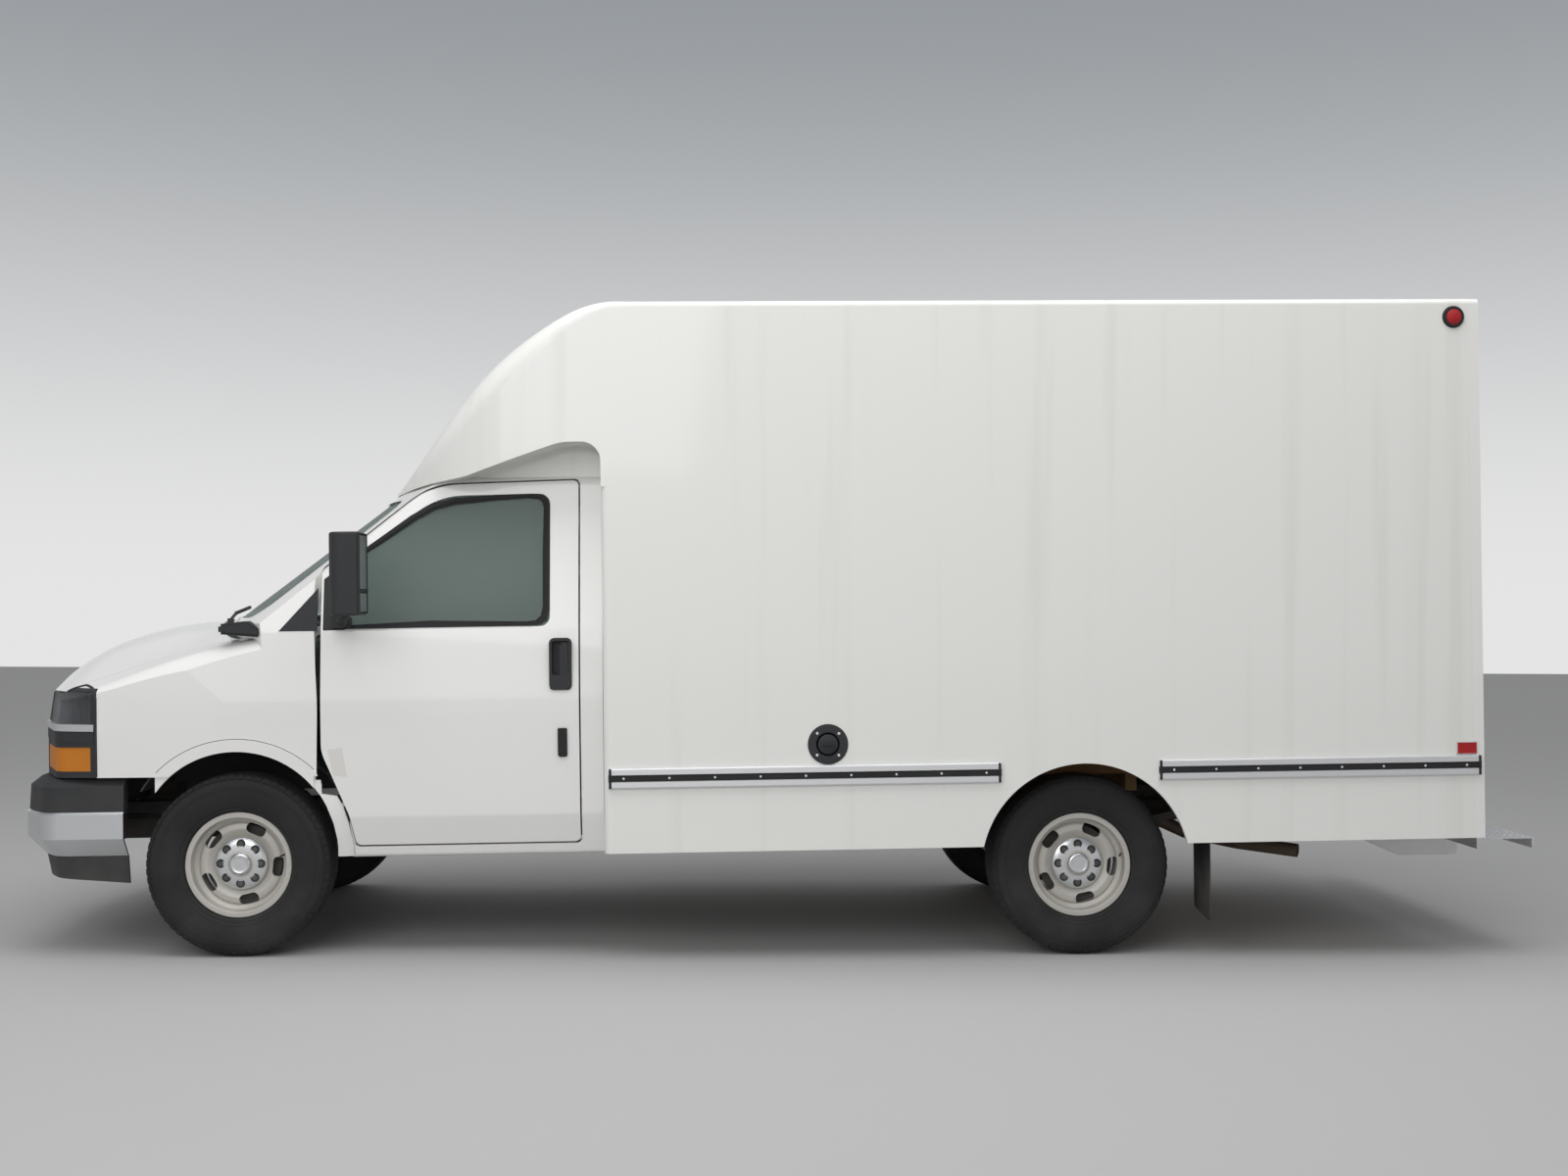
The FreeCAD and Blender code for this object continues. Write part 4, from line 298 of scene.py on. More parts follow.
def add_slab(shape, corners, thickness, direction, bevel=0.0015):
    """A plate between an outline's corners and the same corners moved along a direction, its edges rounded."""
    low = [shape.verts.new(corner) for corner in corners]
    high = [shape.verts.new(Vector(corner) + Vector(direction).normalized() * thickness) for corner in corners]
    faces = [shape.faces.new(low), shape.faces.new(list(reversed(high)))]
    for index in range(len(corners)):
        after = (index + 1) % len(corners)
        faces.append(shape.faces.new((low[index], high[index], high[after], low[after])))
    bmesh.ops.recalc_face_normals(shape, faces=faces)
    if bevel:
        edges = list({edge for face in faces for edge in face.edges})
        bmesh.ops.bevel(shape, geom=edges, offset=bevel, segments=2, affect="EDGES", clamp_overlap=True)


def add_block(shape, low, high, bevel=0.0015):
    """A rounded block between two opposite corners of the level body, millimetres."""
    (x0, y0, z0), (x1, y1, z1) = low, high
    corners = [row(x0, y0, z0), row(x1, y0, z0), row(x1, y0, z1), row(x0, y0, z1)]
    add_slab(shape, corners, abs(y1 - y0) / 1000, (0, y1 - y0, 0), bevel)


def add_tube(shape, points, radius, sides=8, closed=False):
    """A round bar along points, with flat ends."""
    points = [Vector(point) for point in points]
    count = len(points)
    rings = []
    side = None
    for index, point in enumerate(points):
        before = points[index - 1] if index or closed else point
        after = points[(index + 1) % count] if index < count - 1 or closed else point
        along = (after - before).normalized()
        if side is None:
            side = along.orthogonal().normalized()
        side = (side - along * side.dot(along)).normalized()
        other = along.cross(side)
        rings.append([shape.verts.new(point + radius * (side * math.cos(a) + other * math.sin(a)))
                      for a in (2 * math.pi * k / sides for k in range(sides))])
    for index in range(count if closed else count - 1):
        first, second = rings[index], rings[(index + 1) % count]
        for k in range(sides):
            after = (k + 1) % sides
            shape.faces.new((first[k], first[after], second[after], second[k]))
    if not closed:
        shape.faces.new(list(reversed(rings[0])))
        shape.faces.new(rings[-1])


def add_spun(shape, profile, centre, axis, steps=48):
    """A profile of (along, radius) pairs turned once round an axis through a centre."""
    axis = Vector(axis).normalized()
    side = axis.orthogonal().normalized()
    other = axis.cross(side)
    rings = []
    for along, radius in profile:
        middle = Vector(centre) + axis * along
        if radius <= 1e-6:
            rings.append([shape.verts.new(middle)])
            continue
        rings.append([shape.verts.new(middle + radius * (side * math.cos(a) + other * math.sin(a)))
                      for a in (2 * math.pi * k / steps for k in range(steps))])
    for first, second in zip(rings, rings[1:]):
        for k in range(steps):
            after = (k + 1) % steps
            corners = [first[k % len(first)], first[after % len(first)],
                       second[after % len(second)], second[k % len(second)]]
            corners = [c for i, c in enumerate(corners) if c not in corners[:i]]
            if len(corners) > 2:
                shape.faces.new(corners)


def add_sheet(shape, lines, closed=False):
    """A skin through lines of points and back to the first; the lines are rings, or else its ends are shut."""
    lines = [[shape.verts.new(point) for point in line] for line in lines]
    count = len(lines[0])
    for first, second in zip(lines, lines[1:] + lines[:1]):
        for k in range(count if closed else count - 1):
            after = (k + 1) % count
            shape.faces.new((first[k], first[after], second[after], second[k]))
    if not closed:
        shape.faces.new([line[0] for line in lines])
        shape.faces.new([line[-1] for line in lines])


def repeats_tree():
    """Geometry nodes that set a small piece on every point, turned by the point's own angles."""
    tree = bpy.data.node_groups.new("set_repeats", "GeometryNodeTree")
    for socket_name, kind in (("Points", "NodeSocketGeometry"), ("Piece", "NodeSocketObject"),
                              ("Material", "NodeSocketMaterial"), ("Size Change", "NodeSocketFloat"),
                              ("Seed", "NodeSocketInt")):
        tree.interface.new_socket(socket_name, in_out="INPUT", socket_type=kind)
    tree.interface.new_socket("Geometry", in_out="OUTPUT", socket_type="NodeSocketGeometry")
    given = tree.nodes.new("NodeGroupInput")
    result = tree.nodes.new("NodeGroupOutput")
    piece = add(tree, "GeometryNodeObjectInfo", None, {"Object": given.outputs["Piece"]})
    turn = add(tree, "GeometryNodeInputNamedAttribute", {"data_type": "FLOAT_VECTOR"}, {"Name": "turn"})
    angles = add(tree, "FunctionNodeEulerToRotation", None, {0: turn.outputs[0]})
    smallest = math_node(tree, "SUBTRACT", 1.0, given.outputs["Size Change"])
    largest = math_node(tree, "ADD", 1.0, given.outputs["Size Change"])
    size = add(tree, "FunctionNodeRandomValue", {"data_type": "FLOAT"},
               {2: smallest, 3: largest, "Seed": given.outputs["Seed"]})
    spread = add(tree, "GeometryNodeInstanceOnPoints", None, {
        "Points": given.outputs["Points"], "Instance": piece.outputs["Geometry"],
        "Rotation": angles.outputs[0], "Scale": size.outputs[1]})
    real = add(tree, "GeometryNodeRealizeInstances", None, {0: spread.outputs[0]})
    painted = add(tree, "GeometryNodeSetMaterial", None,
                  {"Geometry": real.outputs[0], "Material": given.outputs["Material"]})
    tree.links.new(painted.outputs[0], result.inputs[0])
    return tree


def repeat_piece(name, places, shape, material, body, size_change=0.0, seed=7):
    """One mesh of a small shape set at many (point, turn) places; its own +Z is turned outwards."""
    mesh = bpy.data.meshes.new(name + "_unit")
    bmesh.ops.recalc_face_normals(shape, faces=shape.faces)
    shape.to_mesh(mesh)
    shape.free()
    unit = bpy.data.objects.new(name + "_unit", mesh)
    cloud = bpy.data.meshes.new(name + "_points")
    cloud.from_pydata([tuple(point) for point, _ in places], [], [])
    cloud.attributes.new("turn", "FLOAT_VECTOR", "POINT")
    for item, (_, turn) in zip(cloud.attributes["turn"].data, places):
        item.vector = turn
    holder = bpy.data.objects.new(name + "_holder", cloud)
    for thing in (unit, holder):
        bpy.context.scene.collection.objects.link(thing)
    change = holder.modifiers.new("repeats", "NODES")
    change.node_group = REPEATS
    keys = {item.name: item.identifier for item in REPEATS.interface.items_tree if item.in_out == "INPUT"}
    change[keys["Piece"]] = unit
    change[keys["Material"]] = MATERIALS[material]
    change[keys["Size Change"]] = size_change
    change[keys["Seed"]] = seed
    bpy.context.view_layer.update()
    built = bpy.data.meshes.new_from_object(holder.evaluated_get(bpy.context.evaluated_depsgraph_get()))
    for thing in (unit, holder):
        bpy.data.objects.remove(thing)
    built.name = name
    built.shade_smooth()
    built.set_sharp_from_angle(angle=CREASE_ANGLE)
    piece = bpy.data.objects.new(name, built)
    bpy.context.scene.collection.objects.link(piece)
    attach(piece, body)
    return piece


def facing(direction):
    """Euler angles that turn +Z to a direction."""
    return Vector(direction).to_track_quat("Z", "Y").to_euler()


def facing_along(out, up):
    """Euler angles with +Z turned to one direction and +Y near another."""
    z = Vector(out).normalized()
    y = (Vector(up) - z * z.dot(Vector(up))).normalized()
    return Matrix((y.cross(z), y, z)).transposed().to_euler()


def small_head(sides, profile):
    """A small spun head on +Z, for repeats."""
    shape = bmesh.new()
    add_spun(shape, profile, (0, 0, 0), (0, 0, 1), sides)
    return shape


def screw_head(radius, height):
    """A small domed head with a dip in its middle."""
    return small_head(10, [(-0.0005, radius), (height * 0.4, radius), (height * 0.85, radius * 0.78),
                           (height, radius * 0.4), (height * 0.8, radius * 0.25), (height * 0.8, 0.0)])


def bolt_head(radius, height):
    """A hexagon head on its washer."""
    return small_head(6, [(-0.0005, radius * 1.5), (height * 0.25, radius * 1.5), (height * 0.25, radius),
                          (height * 0.85, radius), (height, radius * 0.86), (height, 0.0)])


def small_plate(half_x, half_y, low, thickness, bevel, far_half=None):
    """A small plate across +Z, narrower at its far end where asked, for repeats."""
    far = half_x if far_half is None else far_half
    shape = bmesh.new()
    add_slab(shape, [(-half_x, -half_y, low), (half_x, -half_y, low), (far, half_y, low), (-far, half_y, low)],
             thickness, (0, 0, 1), bevel)
    return shape


REPEATS = repeats_tree()


# Wheels: metres from a wheel's middle, across it first and then away from its axle

TYRE_RADIUS = 0.380
LUG_CIRCLE = 0.0825
LUG_COUNT = 8
RIM_SEAT = [(0.078, 0.2065), (0.0795, 0.221)]
SIDEWALL = [(0.0985, 0.224), (0.1060, 0.240), (0.1150, 0.262), (0.1205, 0.285), (0.1232, 0.305),
            (0.1225, 0.325), (0.1175, 0.345), (0.1095, 0.359), (0.1010, 0.3685)]
SIDEWALL_RINGS = (0.233, 0.2485, 0.322)
SHOULDER = 0.093
GROOVES = (0.060, 0.021)
GROOVE_DEPTH = 0.008
TREAD_PITCHES = 64
TREAD_RIBS = (-0.0775, -0.0405, 0.0, 0.0405, 0.0775)


def wheel_frame(end, side):
    """The centre of a wheel and its outward direction."""
    low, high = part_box(f"tyre_{end}_{side}")
    return (low + high) / 2, Vector((0, -1 if side == "left" else 1, 0))


def spokes(count, shift=0.0):
    """Directions spread evenly round an axle."""
    turns = [2 * math.pi * (k + shift) / count for k in range(count)]
    return [Vector((math.sin(turn), 0, math.cos(turn))) for turn in turns]


def sidewall(radius):
    """Half the tyre's width over its sidewall at a radius."""
    for (first, low), (second, high) in zip(SIDEWALL, SIDEWALL[1:]):
        if radius <= high:
            return first + (second - first) * (radius - low) / (high - low)
    return SIDEWALL[-1][0]


def crown(across):
    """The tread's radius at a place across it."""
    return TYRE_RADIUS - 0.0004 - 0.55 * across * across


def tyre_profile():
    """The closed section of a tyre, with its sidewall rings and tread grooves."""
    half = RIM_SEAT + SIDEWALL
    for place in SIDEWALL_RINGS:
        for step, lift in ((-0.0036, 0.0003), (-0.0026, 0.0016), (0.0026, 0.0016), (0.0036, 0.0003)):
            half.append((sidewall(place + max(step, 0.0)) + lift, place + step))
    half.sort(key=lambda corner: corner[1])
    half.append((SHOULDER, crown(SHOULDER)))
    for groove in GROOVES:
        floor = crown(groove) - GROOVE_DEPTH
        half += [(groove + 0.0045, crown(groove + 0.0045)), (groove + 0.0032, floor),
                 (groove - 0.0032, floor), (groove - 0.0045, crown(groove - 0.0045))]
    return half + [(-across, radius) for across, radius in reversed(half)] + half[:1]


def dress_tyre(end, side):
    """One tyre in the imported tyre's form, with tread grooves, shoulder lugs, sipes and sidewall rings."""
    centre, out = wheel_frame(end, side)
    body = f"wheel_{end}_{side}"
    tyre = make_piece(f"tyre_{end}_{side}_shape", "tyre_rubber", body,
                      (add_spun, tyre_profile(), centre, out, 96))
    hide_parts(f"tyre_{end}_{side}")

    lugs = []
    for face in (-1, 1):
        for away in spokes(TREAD_PITCHES, 0.25):
            tilt = (away * 0.72 + out * face * 0.7).normalized()
            point = centre + away * 0.3655 + out * face * 0.1035
            lugs.append((point, facing_along(tilt, away - tilt * away.dot(tilt))))
    lug = small_plate(0.0140, 0.012, -0.003, 0.0062, 0.0009, 0.0125)
    repeat_piece(f"tyre_lugs_{end}_{side}", lugs, lug, "tyre_rubber", body, 0.01)

    cuts = []
    for rib, across in enumerate(TREAD_RIBS):
        slant = 0.35 if rib % 2 else -0.35
        for away in spokes(TREAD_PITCHES, 0.5 * (rib % 2)):
            point = centre + away * crown(across) + out * across
            cuts.append((point, facing_along(away, out + away.cross(out) * slant)))
    sipe = small_plate(0.0009, 0.0150, -0.002, 0.0023, 0.0)
    repeat_piece(f"tyre_sipes_{end}_{side}", cuts, sipe, "black_rubber", body)


def dress_wheel(end, side):
    """Valve, hub cap with a blank medallion and black pucks round the nuts as painted shade in its lug holes,
    nuts and brake drum of one wheel.
    """
    centre, out = wheel_frame(end, side)
    body = f"wheel_{end}_{side}"
    valve = [centre + out * across + Vector((x, 0, z))
             for across, x, z in ((0.05, 0.185, 0.04), (0.062, 0.180, 0.038), (0.088, 0.171, 0.036))]
    make_piece(f"valve_{end}_{side}", "black_rubber", body, (add_tube, valve, 0.004, 8))
    skin = [(0.0300, 0.1085), (0.0346, 0.1098), (0.0400, 0.1088), (0.0466, 0.1018), (0.0500, 0.0820),
            (0.0530, 0.0600), (0.0532, 0.0470), (0.0480, 0.0440)]
    medallion = [(0.0560, 0.0465), (0.0600, 0.0470), (0.0640, 0.0455), (0.0690, 0.0420), (0.0712, 0.0360),
                 (0.0700, 0.0335), (0.0706, 0.0200), (0.0709, 0.0)]
    make_piece(f"cap_trim_{end}_{side}", "chrome", body,
               (add_spun, skin, centre, out, 64), (add_spun, medallion, centre, out, 48))

    # Black pucks filling the cap's lug holes round each nut: painted shade of the holes
    well = [(0.0512, 0.0), (0.0512, 0.0150), (0.0522, 0.0172), (0.0506, 0.0188), (0.0460, 0.0192),
            (0.0440, 0.0)]
    studs = [centre + spoke * LUG_CIRCLE for spoke in spokes(LUG_COUNT)]
    make_piece(f"lug_wells_{end}_{side}", "black_plastic", body,
               *[(add_spun, well, stud, out, 20) for stud in studs])
    nut = small_head(6, [(0, 0.0115), (0.009, 0.0115), (0.0105, 0.0095), (0.0105, 0.0)])
    repeat_piece(f"lug_nuts_{end}_{side}", [(stud + out * 0.0450, facing(out)) for stud in studs], nut,
                 "cast_metal", body)
    drum = [(-0.02, 0.16), (-0.012, 0.158), (-0.010, 0.060), (-0.010, 0.03)]
    make_piece(f"drum_{end}_{side}", "cast_metal", body, (add_spun, drum, centre, out, 48))


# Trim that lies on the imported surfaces; corners are (x, z) of the level body, millimetres

WINDOW_CENTRE = (880, 1610)
WINDOW_EDGE = [(392, 1345), (800, 1346), (1230, 1350), (1268, 1356), (1292, 1378), (1301, 1420), (1302, 1640),
               (1301, 1868), (1294, 1893), (1276, 1908), (1230, 1914), (1090, 1911), (900, 1900), (806, 1877),
               (714, 1826), (619, 1756), (511, 1677), (392, 1588)]
CAB_SIDE = [(394, 945), (565, 988), (991, 1003), (1058, 1003), (1340, 978), (1985, 856)]
WELL_OUTSIDE = 1500
ARCH_HEIGHT = 436
ARCH_RADIUS = 411.0
STRIP_EDGE = [(722, 345), (700, 349), (664, 350), (655, 412), (640, 420), (612, 436), (541, 457), (470, 470),
              (440, 474), (398, 474)]
STRIP_DEPTH = 26
LAMP_SEAM = 909
BEZEL_REAR = [(-735, 1096), (-700, 1111), (-649, 1123), (-600, 1112), (-576, 1082), (-574, 748)]
# Radii of the thin black band at each arch's lip: painted shade of the crease there
ARCH_SHADE_RADII = (460.5, 463.0)


def tree_of(names):
    """A ray-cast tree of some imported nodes."""
    points, faces = [], []
    for name in names:
        mesh = NODES[name].data
        start = len(points)
        points += [vertex.co.copy() for vertex in mesh.vertices]
        faces += [[start + index for index in face.vertices] for face in mesh.polygons]
    return BVHTree.FromPolygons(points, faces)


def add_wrap(shape, tree, side, lows, highs, lift):
    """A band laid on one side's surface between two rows of points outside it, raised by a lift."""
    way = Vector((0, -side, 0))

    def laid(line, raise_by):
        hits = [(tree.ray_cast(start, way)[0], start) for start in line]
        return [(start if hit is None else hit) - way * raise_by for hit, start in hits]

    add_sheet(shape, [laid(lows, -0.001), laid(lows, lift), laid(highs, lift), laid(highs, -0.001)])


def side_line(side, points, count=24):
    """Evenly spread points along corners, well outside one side."""
    spans = [math.dist(a, b) for a, b in zip(points, points[1:])]
    total = sum(spans)
    line = []
    for step in range(count + 1):
        target = total * step / count
        for (a, b), span in zip(zip(points, points[1:]), spans):
            if target <= span + 1e-6:
                share = target / span
                x, z = (a[k] + (b[k] - a[k]) * share for k in (0, 1))
                line.append(row(x, side * WELL_OUTSIDE, z))
                break
            target -= span
    return line


def inner_edge(points, centre, inset):
    """The same outline drawn in towards a centre by an inset in millimetres."""
    shares = [inset / math.dist(point, centre) for point in points]
    return [(x + (centre[0] - x) * share, z + (centre[1] - z) * share) for (x, z), share in zip(points, shares)]


def cab_side(z):
    """Half width of the cab at a height, millimetres."""
    for (low, first), (high, second) in zip(CAB_SIDE, CAB_SIDE[1:]):
        if z <= high:
            return first + (second - first) * (z - low) / (high - low)
    return CAB_SIDE[-1][1]


def on_cab(side, corners, depth):
    """Corners laid on one side of the cab, sunk by a depth in millimetres."""
    return [row(x, side * (cab_side(z) - depth), z) for x, z in corners]


def on_plane(side, across, corners):
    """Corners laid on an upright plane at a distance across."""
    return [row(x, side * across, z) for x, z in corners]


def dress_door(side_name, side):
    """Window seals, edge guard, mirror patch, glass and rims, handle pull, lock and film of one cab door."""
    body = f"door_{side_name}"
    out = Vector((0, side, 0))
    seals = []
    for edge, depth, lift in ((4, 22, 0.0025), (19, 34, -0.002)):
        outer, inner = (on_cab(side, inner_edge(WINDOW_EDGE, WINDOW_CENTRE, inset), -1)
                        for inset in (edge, depth))
        lines = ((outer, -0.006), (outer, lift), (inner, lift), (inner, -0.012))
        seals.append((add_sheet, [[point + out * push for point in line] for line, push in lines], True))
    make_piece(f"window_seal_{side_name}", "black_rubber", body, *seals)

    patch = on_cab(side, [(361, 1343), (452, 1344), (452, 1622), (361, 1557)], 1)
    make_piece(f"mirror_patch_{side_name}", "black_plastic", body, (add_slab, patch, 0.0042, out, 0.0012))
    guard = on_cab(side, [(1330, 809), (1340, 803), (1369, 806), (1369, 924), (1330, 924)], 1)
    make_piece(f"edge_guard_{side_name}", "black_rubber", body, (add_slab, guard, 0.0115, out, 0.0025))

    paddle = on_plane(side, 984, [(1347, 1152), (1379, 1156), (1381, 1275), (1374, 1284), (1347, 1286)])
    lip = on_plane(side, 1001, [(1300, 1088), (1312, 1083), (1378, 1083), (1388, 1090), (1390, 1104),
                                (1384, 1104), (1376, 1092), (1314, 1092), (1306, 1104), (1299, 1104)])
    make_piece(f"door_pull_{side_name}", "black_plastic", body,
               (add_slab, paddle, 0.0215, out, 0.004), (add_slab, lip, 0.004, out, 0.0012))
    lock = [(0, 0.0155), (0.004, 0.0155), (0.0052, 0.0125), (0.0046, 0.0100), (0.0052, 0.0090), (0.0052, 0.0)]
    make_piece(f"door_lock_{side_name}", "chrome", body, (add_spun, lock, row(1341, side * 999, 1123), out, 28))

    panes = [[row(566, side * y, z) for y, z in ((1120, low), (1276, low), (1276, high), (1120, high))]
             for low, high in ((1512, 1728), (1420, 1494))]
    make_piece(f"mirror_glass_{side_name}", "chrome", body,
               *[(add_slab, pane, 0.0022, (1, 0, 0), 0.0018) for pane in panes])
    surround = [row(567, side * y, z) for y, z in ((1114, 1414), (1283, 1414), (1283, 1735), (1114, 1735))]
    divider = [row(568, side * y, 1503) for y in (1114, 1200, 1283)]
    make_piece(f"mirror_rim_{side_name}", "black_plastic", body,
               (add_tube, surround, 0.0045, 8, True), (add_tube, divider, 0.0055, 8))

    if side_name == "left":
        skin = tree_of([f"door_{side_name}", f"door_handle_{side_name}"])
        low = side_line(side, [(402, 742), (458, 732)], 8)
        high = side_line(side, [(378, 848), (438, 856)], 8)
        make_piece("film_patch", "old_film", body, (add_wrap, skin, side, low, high, 0.0004))


def dress_cab_side(side_name, side):
    """Corner trim, cowl corner and the painted strip behind the wheel opening of one cab side."""
    trim = on_cab(side, [(178, 1341), (338, 1341), (338, 1520)], 2)
    make_piece(f"corner_trim_{side_name}", "black_plastic", "truck",
               (add_slab, trim, 0.0046, (0, side, 0), 0.0012))
    lines = [[], [], [], [], []]
    for z, rear in STRIP_EDGE:
        front = math.sqrt(ARCH_RADIUS ** 2 - (z - ARCH_HEIGHT) ** 2)
        middle = front + 0.45 * (rear - front)
        section = ((front, 3), (middle, 4), (rear, 12), (rear, STRIP_DEPTH), (front, STRIP_DEPTH))
        for line, (x, depth) in zip(lines, section):
            line.append(row(x, side * (cab_side(z) - depth), z))
    make_piece(f"arch_strip_{side_name}", "white_paint", "truck", (add_sheet, lines))
    corner = on_plane(side, 972, [(-72, 1332), (96, 1318), (112, 1340), (44, 1386), (-72, 1374)])
    make_piece(f"cowl_corner_{side_name}", "black_plastic", "truck",
               (add_slab, corner, 0.150, (0, -side, 0), 0.010))


def lamp_strips(side_name, side, bezel):
    """A bright and a dark strip round the corner between headlamp and turn lamp."""
    ways, hits = [], []
    for step in range(31):
        angle = math.radians(2 + 84 * step / 30)
        way = Vector((-math.cos(angle), side * math.sin(angle), 0))
        hit = bezel.ray_cast(row(-560, side * 640, LAMP_SEAM) + way * 1.2, -way)[0]
        if hit is not None and abs(hit.y) > 0.50:
            ways.append(way)
            hits.append(hit)
    for name, low, high, lift, material in (("bright", 935, 964, 0.0060, "chrome"),
                                            ("dark", 889, 931, 0.0025, "black_plastic")):
        lines = []
        for z, raise_by in ((low, -0.012), (low, lift), (high, lift), (high, -0.012)):
            rise = Vector((0, 0, row(-700, 0, z).z - row(-700, 0, LAMP_SEAM).z))
            lines.append([hit + way * raise_by + rise for hit, way in zip(hits, ways)])
        make_piece(f"lamp_strip_{name}_{side_name}", material, "truck", (add_sheet, lines))


def dress_front():
    """Strips and bead of the lamps, a thin black band as painted shade along the crease of each arch and a blank
    plate with its screws.
    """
    bezel = tree_of(["lamp_bezels", "headlamps", "turn_lamps"])
    edges = tree_of(["lamp_bezels", "headlamps", "fenders", "hood"])
    arch = tree_of(["fenders"])
    turns = [math.radians(45 + 89 * step / 48) for step in range(49)]
    for side_name, side in SIDES:
        lamp_strips(side_name, side, bezel)
        line = side_line(side, BEZEL_REAR, 30)
        seats = [edges.ray_cast(point, Vector((0, -side, 0)))[0] for point in line]
        bead = [seat for seat in seats if seat is not None]
        make_piece(f"lamp_bead_{side_name}", "black_plastic", "truck", (add_tube, bead, 0.006, 8))
        # A thin black band laid on the fender at the arch lip's edge: painted shade of the crease
        inner, outer = (on_plane(side, WELL_OUTSIDE, [
            (-radius * math.cos(turn), ARCH_HEIGHT + radius * math.sin(turn)) for turn in turns])
            for radius in ARCH_SHADE_RADII)
        make_piece(f"arch_groove_{side_name}", "black_rubber", "truck",
                   (add_wrap, arch, side, inner, outer, 0.0003))
    make_piece("front_plate", "bare_aluminium", "truck",
               (add_block, (-1001, -155, 452), (-997, 155, 560), 0.001))
    screws = [(row(-1001, y, 540), facing((-1, 0, 0))) for y in (-90, 90)]
    repeat_piece("plate_screws_front", screws, screw_head(0.006, 0.004), "cast_metal", "truck")


# Load body, millimetres of the level body

BOX_SIDE = 1092
FILLER = (2453, 846)
RAIL_SPANS = ((1546, 3173), (3844, 5215))
LOCK_ROD = 150
DOOR_ROD_BRACKETS = (790, 1180, 1560, 2050, 2540)
DOOR_HINGES = (920, 1410, 1900, 2390)
BEHIND = 5600


def dress_rub_rails():
    """Rubber inserts with their screws and end caps in the rails on both sides."""
    for side_name, side in SIDES:
        blocks, screws = [], []
        for start, end in RAIL_SPANS:
            blocks.append((add_block, (start, side * 1097, 705), (end, side * 1105.5, 731), 0.003))
            for first, last in ((start - 3, start + 12), (end - 12, end + 3)):
                blocks.append((add_block, (first, side * 1093, 677), (last, side * 1108.8, 759), 0.002))
            count = int((end - start) / 190)
            pitch = (end - start - 120) / count
            screws += [(row(start + 60 + k * pitch, side * 1105.3, 718), facing((0, side, 0)))
                       for k in range(count + 1)]
        make_piece(f"rub_insert_{side_name}", "black_rubber", "truck", *blocks)
        repeat_piece(f"rub_screws_{side_name}", screws, screw_head(0.005, 0.0022), "bare_aluminium",
                     "truck", 0.03)


def dress_filler():
    """Cap with its grip bar, ring, screws and tether of the fuel filler, and the disc of the right wall."""
    x, z = FILLER
    centre = row(x, -BOX_SIDE, z)
    out = Vector((0, -1, 0))
    cap = [(-0.006, 0.0), (-0.006, 0.041), (0.002, 0.041), (0.004, 0.038), (0.004, 0.0)]
    ring = [(0.0005, 0.079), (0.0035, 0.078), (0.0042, 0.073), (0.0030, 0.050), (-0.003, 0.0475)]
    make_piece("filler_cap", "black_plastic", "truck", (add_spun, cap, centre, out, 40),
               (add_block, (x - 29, -1096, z - 6), (x + 29, -1109, z + 6), 0.004),
               (add_spun, ring, centre, out, 48))
    turns = [math.radians(45 + 90 * k) for k in range(4)]
    screws = [(centre + out * 0.0036 + Vector((math.cos(turn), 0, math.sin(turn))) * 0.064, facing(out))
              for turn in turns]
    repeat_piece("filler_screws", screws, screw_head(0.006, 0.003), "bare_aluminium", "truck")
    wall = [(-0.018, 0.0), (-0.018, 0.0803), (-0.0012, 0.0803), (-0.0003, 0.0795), (-0.0002, 0.0)]
    make_piece("wall_disc_right", "fibreglass", "truck", (add_spun, wall, row(x, BOX_SIDE, z), -out, 64))
    tether = [row(x + 40 * math.cos(turn), -1100, z + 40 * math.sin(turn)) for turn in (-0.4, -0.9, -1.4)]
    tether.append(row(x + 15, -1096, z - 50))
    make_piece("filler_tether", "black_rubber", "truck", (add_tube, tether, 0.0016, 6))


def dress_markers():
    """Rubber grommet of each round side lamp and the frame of each reflector."""
    grommet = [(0, 0.047), (0.004, 0.0465), (0.0105, 0.043), (0.0118, 0.038), (0.0105, 0.0325), (0.006, 0.0315)]
    bars = (((5115, 763), (5203, 767)), ((5115, 811), (5203, 815)),
            ((5115, 767), (5119, 811)), ((5199, 767), (5203, 811)))
    for side_name, side in SIDES:
        make_piece(f"marker_grommet_{side_name}", "black_rubber", "truck",
                   (add_spun, grommet, row(5127, side * BOX_SIDE, 2613), (0, side, 0), 48))
        make_piece(f"reflector_frame_{side_name}", "bare_aluminium", "truck",
                   *[(add_block, (x0, side * 1093, z0), (x1, side * 1100.4, z1), 0.0012)
                     for (x0, z0), (x1, z1) in bars])


def lock_rod(side, depth):
    """The parts of one door's lock rod: bar, brackets and guides."""
    parts = [(add_tube, [row(depth + 21, side * LOCK_ROD, z) for z in (735, 1200, 1700, 2200, 2592)],
              0.0125, 14)]
    for z in DOOR_ROD_BRACKETS:
        guide = [row(depth + 21, side * LOCK_ROD, z + end) for end in (-17, 17)]
        parts += [(add_block, (depth - 3, side * (LOCK_ROD - 28), z - 22),
                   (depth + 12, side * (LOCK_ROD + 28), z + 22), 0.003),
                  (add_tube, guide, 0.019, 16)]
    return parts


